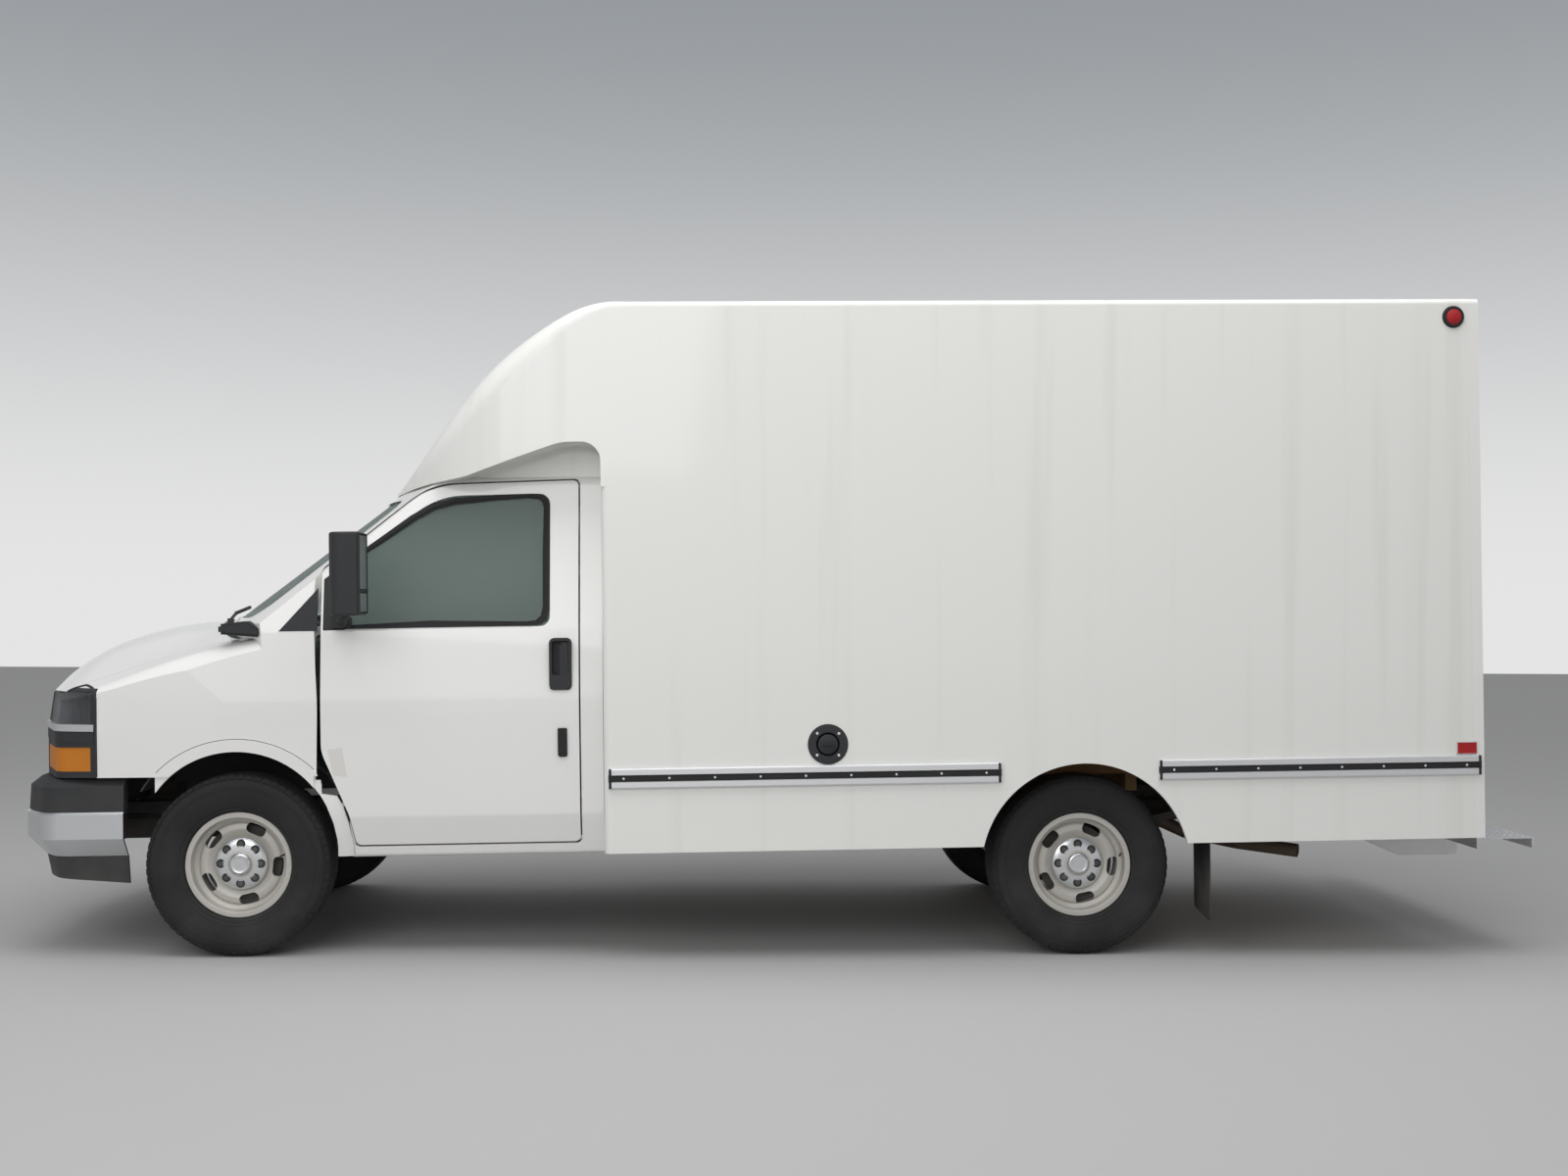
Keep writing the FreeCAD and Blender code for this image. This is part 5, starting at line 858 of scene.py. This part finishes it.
def dress_rear():
    """Lock rods with their handles, bolts and gaskets of the rear doors, and a blank plate."""
    back = Vector((-1, 0, 0))
    behind = facing((1, 0, 0))
    for side_name, side in SIDES:
        body = f"rear_door_{side_name}"
        door = tree_of([body])
        depth = door.ray_cast(row(BEHIND, side * 520, 1900), back)[0].x * 1000 - ORIGIN_X + 26
        make_piece(f"lock_rod_{side_name}", "bare_aluminium", body, *lock_rod(side, depth))
        arm = [row(depth + x, side * y, z)
               for x, y, z in ((22, 150, 1300), (40, 172, 1300), (40, 300, 1302), (34, 468, 1304))]
        grip = [row(depth + x, side * y, z) for x, y, z in ((44, 350, 1302), (37, 466, 1304))]
        make_piece(f"lock_handle_{side_name}", "cast_metal", body, (add_tube, arm, 0.010, 12),
                   (add_block, (depth - 3, side * 400, 1268), (depth + 14, side * 452, 1340), 0.004),
                   (add_tube, grip, 0.0145, 12))
        bolts = []
        for z in DOOR_HINGES:
            for across in (860, 905, 950):
                for rise in (-14, 14):
                    hit = door.ray_cast(row(BEHIND, side * across, z + rise), back)[0]
                    if hit is not None:
                        bolts.append((hit - Vector((0.0005, 0, 0)), behind))
        bolts += [(row(depth + 11.5, side * (LOCK_ROD + apart), z), behind)
                  for z in DOOR_ROD_BRACKETS for apart in (-21, 21)]
        repeat_piece(f"door_bolts_{side_name}", bolts, bolt_head(0.0075, 0.006), "cast_metal", body, 0.03)
        gasket = [row(depth - 8, side * y, z) for y, z in ((14, 722), (1003, 722), (1003, 2603), (14, 2603))]
        make_piece(f"door_gasket_{side_name}", "black_rubber", body, (add_tube, gasket, 0.006, 8, True))
    place = tree_of(["rear_frame"]).ray_cast(row(BEHIND, -420, 600), back)[0].x * 1000 - ORIGIN_X
    make_piece("rear_plate", "bare_aluminium", "truck",
               (add_block, (place + 3, -575, 520), (place + 6, -265, 672), 0.001))


def dress_step():
    """Raised grip rings on the step's tread, with black discs inside them as painted shade of the holes."""
    step = tree_of(["rear_step"])
    ring = small_head(12, [(-0.001, 0.0135), (0.0022, 0.0125), (0.0026, 0.0105), (0.0018, 0.0085),
                           (-0.001, 0.008)])
    # A black disc in each ring: painted shade of the hole
    hole = small_head(12, [(-0.001, 0.0085), (0.0004, 0.0085), (0.0004, 0.0)])
    places = []
    for line, x in enumerate((5300, 5345, 5390, 5435, 5480)):
        for k in range(38):
            y = -925 + 50 * k + 25 * (line % 2)
            hit = step.ray_cast(row(x, y, 700), Vector((0, 0, -1)))[0]
            if hit is not None and abs(y) < 935:
                places.append((hit, facing((0, 0, 1))))
    repeat_piece("step_grips", places, ring, "bare_aluminium", "truck", 0.02)
    repeat_piece("step_holes", places, hole, "black_rubber", "truck")


def dress_load_space():
    """Wall ribs and boards, tie rails with black plates as painted shade in their slots, roof bows, a lamp and
    the floor's joints.
    """
    walls, rails, slots = [], [], []
    for side in (-1, 1):
        walls += [(add_block, (x - 24, side * 1069, 860), (x + 24, side * 1056, 2600), 0.005)
                  for x in range(1700, 5180, 420)]
        walls += [(add_block, (1600, side * 1057, z - 62), (5170, side * 1048, z + 62), 0.004)
                  for z in (1250, 1850)]
        rails.append((add_block, (1610, side * 1049, 1495), (5160, side * 1041, 1625), 0.003))
        turn = facing_along((0, -side, 0), (1, 0, 0))
        slots += [(row(1680 + 100 * k, side * 1041, 1560), turn) for k in range(35)]
    make_piece("wall_ribs", "floor_wood", "truck", *walls)
    make_piece("tie_rails", "bare_aluminium", "truck", *rails)
    # Black plates on the tie rails: painted shade of the slots
    slot = small_plate(0.030, 0.006, -0.001, 0.0018, 0.0004)
    repeat_piece("tie_slots", slots, slot, "black_rubber", "truck")
    bows = [(add_block, (x - 22, -1040, 2648), (x + 22, 1040, 2671), 0.006) for x in range(1760, 5000, 450)]
    make_piece("roof_bows", "fibreglass", "truck", *bows)
    lamp = [(0.0, 0.075), (0.012, 0.074), (0.022, 0.060), (0.026, 0.0)]
    make_piece("load_lamp", "clear_lens", "truck", (add_spun, lamp, row(3340, 0, 2648), (0, 0, -1), 36))
    joints = []
    for y in range(-900, 901, 150):
        end = 2900 if abs(y) > 690 else 5150
        joints.append((add_block, (1570, y - 1.5, 699.5), (end, y + 1.5, 700.6), 0.0))
    make_piece("floor_joints", "black_rubber", "truck", *joints)


# Cab inside: millimetres of the level body, but bevels, voxels and the swell in metres

SEAT_PLACE = 410
PADS = {
    "cushion_left": dict(corners=[(832, 880), (1292, 872), (1296, 1000), (1060, 996), (832, 1024)], half=247,
                         bevel=0.028, voxel=0.010, seam=145, fill=0.8),
    "backrest_left": dict(corners=[(1186, 962), (1326, 962), (1462, 1562), (1368, 1574)], half=238,
                          bevel=0.030, voxel=0.010, seam=140, fill=0.7),
    "headrest_left": dict(corners=[(1366, 1606), (1446, 1606), (1470, 1776), (1398, 1776)], half=132,
                          bevel=0.026, voxel=0.009, seam=300, fill=0.9),
}
SEAM_REACH = 7
PAD_SWELL = 0.014
PAD_PRESSURE = 4.0
CLOTH_FRAMES = 20
DASH_REAR = 760
DIALS = ((-470, 0.050), (-350, 0.050), (-545, 0.026), (-275, 0.026))
DIAL_HEIGHT = 1278
VENTS = (-700, -120, 120, 700)
STEERING_CENTRE = (560, 1205)
COLUMN_TILT = 30


def baked(thing):
    """A new mesh of an object with its modifiers applied."""
    bpy.context.view_layer.update()
    return bpy.data.meshes.new_from_object(thing.evaluated_get(bpy.context.evaluated_depsgraph_get()))


def pad_start(name, size):
    """A smaller rounded block for one pad, remeshed evenly."""
    shape = bmesh.new()
    near = [row(x, -SEAT_PLACE - size["half"], z) for x, z in size["corners"]]
    add_slab(shape, near, 2 * size["half"] / 1000, (0, 1, 0), size["bevel"])
    mesh = bpy.data.meshes.new(name)
    shape.to_mesh(mesh)
    shape.free()
    pad = bpy.data.objects.new(name, mesh)
    bpy.context.scene.collection.objects.link(pad)
    even = pad.modifiers.new("even", "REMESH")
    even.mode = "VOXEL"
    even.voxel_size = size["voxel"]
    pad.data = baked(pad)
    pad.modifiers.clear()
    return pad


def near_seam(point, seam):
    """Whether a point lies close to one of a pad's two sewn lines."""
    return abs(abs(point.y * 1000 + SEAT_PLACE) - seam) < SEAM_REACH


def inflate(pads):
    """Cloth swells the pads between their held seams; each point moves no further than a limit."""
    for pad in pads:
        held = pad.vertex_groups.new(name="held")
        seam = PADS[pad.name]["seam"]
        held.add([vertex.index for vertex in pad.data.vertices if near_seam(vertex.co, seam)], 1.0, "REPLACE")
        cloth = pad.modifiers.new("cloth", "CLOTH")
        cloth.settings.vertex_group_mass = "held"
        cloth.settings.use_pressure = True
        cloth.settings.uniform_pressure_force = PAD_PRESSURE
        cloth.settings.effector_weights.gravity = 0.0
        cloth.collision_settings.use_collision = False
    for moment in range(1, CLOTH_FRAMES + 1):
        bpy.context.scene.frame_set(moment)
    for pad in pads:
        starts = [vertex.co.copy() for vertex in pad.data.vertices]
        swollen = bpy.data.meshes.new_from_object(pad.evaluated_get(bpy.context.evaluated_depsgraph_get()))
        for vertex, start in zip(swollen.vertices, starts):
            move = vertex.co - start
            if move.length > PAD_SWELL:
                vertex.co = start + move.normalized() * PAD_SWELL
        pad.data = swollen
        pad.modifiers.clear()
        finer = pad.modifiers.new("finer", "SUBSURF")
        finer.levels = finer.render_levels = 1
        pad.data = baked(pad)
        pad.modifiers.clear()
        pad.vertex_groups.clear()
        pad.data.shade_smooth()
        pad.data.materials.clear()
        pad.data.materials.append(MATERIALS["seat_vinyl"])
    bpy.context.scene.frame_set(1)


def dress_pads():
    """The swollen pads of the left seat, and their copies on the right one."""
    pads = [pad_start(name, size) for name, size in PADS.items()]
    inflate(pads)
    for pad in pads:
        other = pad.copy()
        other.data = pad.data.copy()
        other.name = pad.name.replace("left", "right")
        for vertex in other.data.vertices:
            vertex.co.y += 2 * SEAT_PLACE / 1000
        bpy.context.scene.collection.objects.link(other)
        for piece in (pad, other):
            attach(piece, "truck")


def dress_seats():
    """Both seats: their frames, levers, belts and buckles."""
    for side_name, side in SIDES:
        y = side * SEAT_PLACE
        frame_parts = [(add_block, (880, y - 205, 641), (1285, y + 205, 668), 0.006),
                       (add_block, (905, y - 180, 668), (1260, y + 180, 820), 0.020)]
        frame_parts += [(add_block, (850, y + way * 150 - 18, 816), (1290, y + way * 150 + 18, 846), 0.005)
                        for way in (-1, 1)]
        frame_parts.append((add_block, (838, y - 243, 846), (1300, y + 243, 884), 0.010))
        frame_parts += [(add_tube, [row(1404, y + way, 1540), row(1414, y + way, 1640)], 0.007, 10)
                        for way in (-62, 62)]
        base = make_piece(f"seat_frame_{side_name}", "interior_grey", "truck", *frame_parts)
        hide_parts("seats")
        bar = [row(870, y - 90, 850), row(800, y - 90, 836), row(800, y + 90, 836), row(870, y + 90, 850)]
        make_piece(f"seat_lever_{side_name}", "black_plastic", "truck",
                   (add_block, (1150, y + side * 252, 872), (1300, y + side * 266, 906), 0.010),
                   (add_tube, bar, 0.006, 8))
        path = [(1462, 858, 1580), (1440, 770, 1560), (1380, 690, 1330), (1340, 660, 1030), (1330, 676, 760)]
        belt = []
        for (x0, y0, z0), (x1, y1, z1) in zip(path, path[1:]):
            corners = [row(x0 - 23, side * y0, z0), row(x0 + 23, side * y0, z0),
                       row(x1 + 23, side * y1, z1), row(x1 - 23, side * y1, z1)]
            belt.append((add_slab, corners, 0.0016, (0, side, 0), 0.0003))
        belt.append((add_block, (1420, side * 838, 1556), (1486, side * 866, 1612), 0.008))
        make_piece(f"seat_belt_{side_name}", "black_rubber", "truck", *belt)
        stalk = [row(1230, side * 150, 860), row(1215, side * 146, 960)]
        make_piece(f"belt_buckle_{side_name}", "black_plastic", "truck", (add_tube, stalk, 0.009, 10),
                   (add_block, (1190, side * 130, 950), (1240, side * 162, 1030), 0.006))


def dress_dials(on_dash):
    """Rims, faces and marks of the dials, laid on the dashboard."""
    rims, faces = [], []
    for y, radius in DIALS:
        hit, normal = on_dash(y, DIAL_HEIGHT)
        rim = [(0, radius * 1.12), (0.008, radius * 1.10), (0.010, radius * 1.02), (0.003, radius * 0.98)]
        rims.append((add_spun, rim, hit, normal, 36))
        faces.append((add_spun, [(0.001, radius), (0.0026, radius * 0.98), (0.0026, 0.0)], hit, normal, 36))
        across = normal.orthogonal().normalized()
        for turn in (-2.2, -1.1, 0.0, 1.1, 2.2):
            spoke = (across * math.cos(turn) + normal.cross(across) * math.sin(turn)) * radius
            mark = [hit + normal * 0.004 + spoke * share for share in (0.72, 0.92)]
            rims.append((add_tube, mark, 0.0012, 5))
    make_piece("dial_rims", "chrome", "truck", *rims)
    make_piece("dial_faces", "black_plastic", "truck", *faces)


def dress_dashboard():
    """Dials, vents, centre controls with their knobs, glove box lid and pedals."""
    dash = tree_of(["dashboard"])
    ahead = Vector((-1, 0, -0.12)).normalized()

    def on_dash(y, z):
        return dash.ray_cast(row(DASH_REAR, y, z), ahead)[:2]

    def depth_at(y, z):
        return on_dash(y, z)[0].x * 1000 - ORIGIN_X

    dress_dials(on_dash)
    slats = []
    for y in VENTS:
        for k in range(6):
            hit, normal = on_dash(y, 1208 + 11 * k)
            if hit is not None:
                slats.append((hit, facing_along(normal, (0, 0, 1))))
    slat = small_plate(0.052, 0.0022, -0.001, 0.006, 0.0008)
    repeat_piece("vent_slats", slats, slat, "black_plastic", "truck")
    stack, knobs = [], []
    knob = [(0, 0.012), (0.012, 0.0105), (0.014, 0.008), (0.014, 0.0)]
    half = 58
    for low, high in ((1196, 1228), (1236, 1264)):
        middle = (low + high) / 2
        x = depth_at(0, middle)
        stack.append((add_block, (x - 4, -half, low), (x + 9, half, high), 0.004))
        knobs += [(add_spun, knob, row(x + 8, y, middle), (1, 0, 0), 20) for y in (-half + 16, half - 16)]
    make_piece("centre_stack", "black_plastic", "truck", *stack)
    make_piece("centre_knobs", "bare_aluminium", "truck", *knobs)
    x = depth_at(420, 1060)
    make_piece("glove_lid", "interior_grey", "truck",
               (add_block, (x - 14, 250, 1000), (x + 7, 600, 1112), 0.008))
    pedals = []
    for y, width, low, high in ((-330, 42, 742, 872), (-430, 60, 770, 848)):
        pad = [row(x, y + across, z) for x, across, z in
               ((190, -width, low), (190, width, low), (150, width, high), (150, -width, high))]
        arm = [row(165, y, (low + high) / 2), row(90, y, 900), row(60, y, 980)]
        pedals += [(add_slab, pad, 0.012, (1, 0, 0.2), 0.004), (add_tube, arm, 0.009, 8)]
    make_piece("pedals", "black_rubber", "truck", *pedals)


def dress_steering():
    """Hub pad of the steering wheel and the column's levers."""
    x, z = STEERING_CENTRE
    centre = row(x, -SEAT_PLACE, z)
    tilt = math.radians(COLUMN_TILT)
    along = (row(x + 100 * math.cos(tilt), -SEAT_PLACE, z + 100 * math.sin(tilt)) - centre).normalized()
    pad = [(-0.062, 0.060), (-0.050, 0.084), (-0.022, 0.090), (-0.010, 0.082), (-0.003, 0.055), (-0.001, 0.0)]
    make_piece("steering_hub_pad", "interior_grey", "steering_wheel", (add_spun, pad, centre, along, 40))
    foot = centre - along * 0.16
    levers = []
    for side, lift in ((-1, 0.02), (1, 0.05)):
        moves = ((0, 0.03, 0), (0.03, 0.12, lift), (0.05, 0.19, lift * 1.6))
        levers.append((add_tube, [foot + Vector((x, side * y, z)) for x, y, z in moves], 0.0075, 10))
    make_piece("column_levers", "black_plastic", "truck", *levers)


def dress_door_inside(side_name, side):
    """Arm rest, map pocket, pull, speaker and latch lever on the inside of a cab door."""
    body = f"door_{side_name}"
    inside = abs(tree_of([body]).ray_cast(row(880, 0, 1000), Vector((0, side, 0)))[0].y) * 1000

    def across(x0, near, z0, x1, far, z1, bevel):
        return (add_block, (x0, side * (inside + near), z0), (x1, side * (inside + far), z1), bevel)

    make_piece(f"door_trim_{side_name}", "interior_grey", body,
               across(560, 3, 1108, 1240, -44, 1152, 0.014), across(620, 3, 620, 1180, -34, 760, 0.012),
               across(760, -30, 1152, 960, -42, 1176, 0.006))
    speaker = [(0, 0.085), (0.008, 0.083), (0.010, 0.076), (0.004, 0.070), (0.006, 0.0)]
    make_piece(f"door_parts_{side_name}", "black_plastic", body,
               (add_spun, speaker, row(700, side * inside, 880), (0, -side, 0), 36),
               across(560, 2, 1196, 640, -16, 1230, 0.006))


# Underneath

def dress_underbody():
    """Frame bolts, brake lines and hoses, dampers, spring clamps and flap bolts."""
    bolts, dampers, clamps, hoses, flaps = [], [], [], [], []
    for side in (-1, 1):
        bolts += [(row(x, side * 465.5, z), facing((0, side, 0)))
                  for x in range(-700, 5100, 290) for z in (475, 545)]
        for x in (WHEELBASE, 0):
            low = row(x + 120, side * 560, HUB_HEIGHT - 60)
            high = row(x + 60, side * 440, HUB_HEIGHT + 250)
            dampers += [(add_tube, [low, low.lerp(high, 0.55)], 0.032, 16),
                        (add_tube, [low.lerp(high, 0.45), high], 0.024, 16)]
        for shift in (-42, 42):
            bend = ((-46, 300), (-46, 440), (-30, 462), (0, 468), (30, 462), (46, 440), (46, 300))
            clamps.append((add_tube, [row(WHEELBASE + shift, side * (515 + y), z) for y, z in bend], 0.007, 8))
        hose = ((-40, 470, 520), (-60, 560, 470), (-50, 640, 400), (-30, 700, 372))
        hoses.append((add_tube, [row(x, side * y, z) for x, y, z in hose], 0.006, 8))
        flaps += [(row(4088, side * y, 560), facing((1, 0, 0))) for y in (805, 880, 955)]
    lines = []
    for side, z, radius in ((-1, 520, 0.0035), (-1, 534, 0.0035), (1, 524, 0.008)):
        points = [row(x, side * (474 + 6 * math.sin(x / 300)), z + 5 * math.sin(x / 210))
                  for x in range(-600, 5000, 140)]
        lines.append((add_tube, points, radius, 7))
    repeat_piece("frame_bolts", bolts, bolt_head(0.009, 0.009), "cast_metal", "truck", 0.03)
    make_piece("brake_lines", "black_rubber", "truck", *lines)
    make_piece("dampers", "frame_black", "truck", *dampers)
    make_piece("spring_clamps", "cast_metal", "truck", *clamps)
    make_piece("brake_hoses", "black_rubber", "truck", *hoses)
    repeat_piece("flap_bolts", flaps, bolt_head(0.007, 0.006), "bare_aluminium", "truck")


# Studio and camera

def make_camera():
    """The camera at the photograph's place."""
    yaw, pitch, roll = (math.radians(a) for a in (CAMERA_YAW, CAMERA_PITCH, CAMERA_ROLL))
    forward = Vector((math.sin(yaw) * math.cos(pitch), math.cos(yaw) * math.cos(pitch), math.sin(pitch)))
    right = forward.cross(Vector((0, 0, 1))).normalized()
    up = right.cross(forward)
    right, up = right * math.cos(roll) + up * math.sin(roll), up * math.cos(roll) - right * math.sin(roll)
    data = bpy.data.cameras.new("camera")
    data.lens = CAMERA_LENS
    data.sensor_width = SENSOR_WIDTH
    data.clip_end = 200.0
    camera = bpy.data.objects.new("camera", data)
    turn = Matrix((right, up, -forward)).transposed().to_4x4()
    camera.matrix_world = Matrix.Translation(CAMERA_PLACE) @ turn
    bpy.context.scene.collection.objects.link(camera)
    bpy.context.scene.camera = camera


def area_lamp(name, place, aim, size, power):
    """A large soft lamp that points at a place."""
    data = bpy.data.lights.new(name, "AREA")
    data.shape = "RECTANGLE"
    data.size, data.size_y = size
    data.energy = power
    lamp = bpy.data.objects.new(name, data)
    lamp.location = place
    lamp.rotation_euler = (Vector(aim) - Vector(place)).to_track_quat("-Z", "Y").to_euler()
    bpy.context.scene.collection.objects.link(lamp)


def make_studio():
    """Floor, sky and lamps."""
    shape = bmesh.new()
    bmesh.ops.create_grid(shape, x_segments=1, y_segments=1, size=FLOOR_SIZE / 2)
    mesh = bpy.data.meshes.new("studio_floor")
    shape.to_mesh(mesh)
    shape.free()
    floor = bpy.data.objects.new("studio_floor", mesh)
    bpy.context.scene.collection.objects.link(floor)
    floor.data.materials.append(finish_of("studio_floor", FLOOR_COLOUR, 0.6, grain=40.0, bump=0.05, dust=0.0))

    world = bpy.data.worlds.new("studio")
    world.use_nodes = True
    tree = world.node_tree
    ground = tree.nodes["Background"]
    ground.inputs["Strength"].default_value = WORLD_LEVEL
    direction = tree.nodes.new("ShaderNodeTexCoord").outputs["Generated"]
    rise = add(tree, "ShaderNodeSeparateXYZ", None, {0: direction}).outputs["Z"]
    backdrop = mix_colour(tree, ramp(tree, rise, 0.0, 0.34), (*SKY_LOW, 1), (*SKY_HIGH, 1))
    seen = add(tree, "ShaderNodeBackground", None, {"Color": backdrop, "Strength": 1.0})
    glow = mix_colour(tree, ramp(tree, rise, -0.1, 0.7), (0.75, 0.75, 0.75, 1), (1.0, 1.0, 1.0, 1))
    tree.links.new(glow, ground.inputs["Color"])
    rays = tree.nodes.new("ShaderNodeLightPath")
    seen_by = math_node(tree, "MAXIMUM", rays.outputs["Is Camera Ray"], rays.outputs["Is Glossy Ray"])
    seen_by = math_node(tree, "MAXIMUM", seen_by, rays.outputs["Is Transmission Ray"])
    shares = add(tree, "ShaderNodeMixShader", None, {0: seen_by, 1: ground.outputs[0], 2: seen.outputs[0]})
    tree.links.new(shares.outputs[0], tree.nodes["World Output"].inputs["Surface"])
    bpy.context.scene.world = world

    area_lamp("lamp_top", (0.0, -2.0, 7.0), (0.0, 0.0, 1.0), (9.0, 5.0), TOP_LAMP_POWER)
    area_lamp("lamp_front", (-3.0, -8.5, 4.5), (0.0, 0.0, 1.0), (6.0, 4.0), FRONT_LAMP_POWER)
    bpy.context.scene.view_settings.view_transform = "Standard"


make_camera()
make_studio()
dress_nodes()
for wheel_end in ("front", "rear"):
    for side_name, side in SIDES:
        dress_tyre(wheel_end, side_name)
        dress_wheel(wheel_end, side_name)
for side_name, side in SIDES:
    dress_door(side_name, side)
    dress_door_inside(side_name, side)
    dress_cab_side(side_name, side)
dress_front()
dress_rub_rails()
dress_filler()
dress_markers()
dress_rear()
dress_step()
dress_load_space()
dress_pads()
dress_seats()
dress_dashboard()
dress_steering()
dress_underbody()
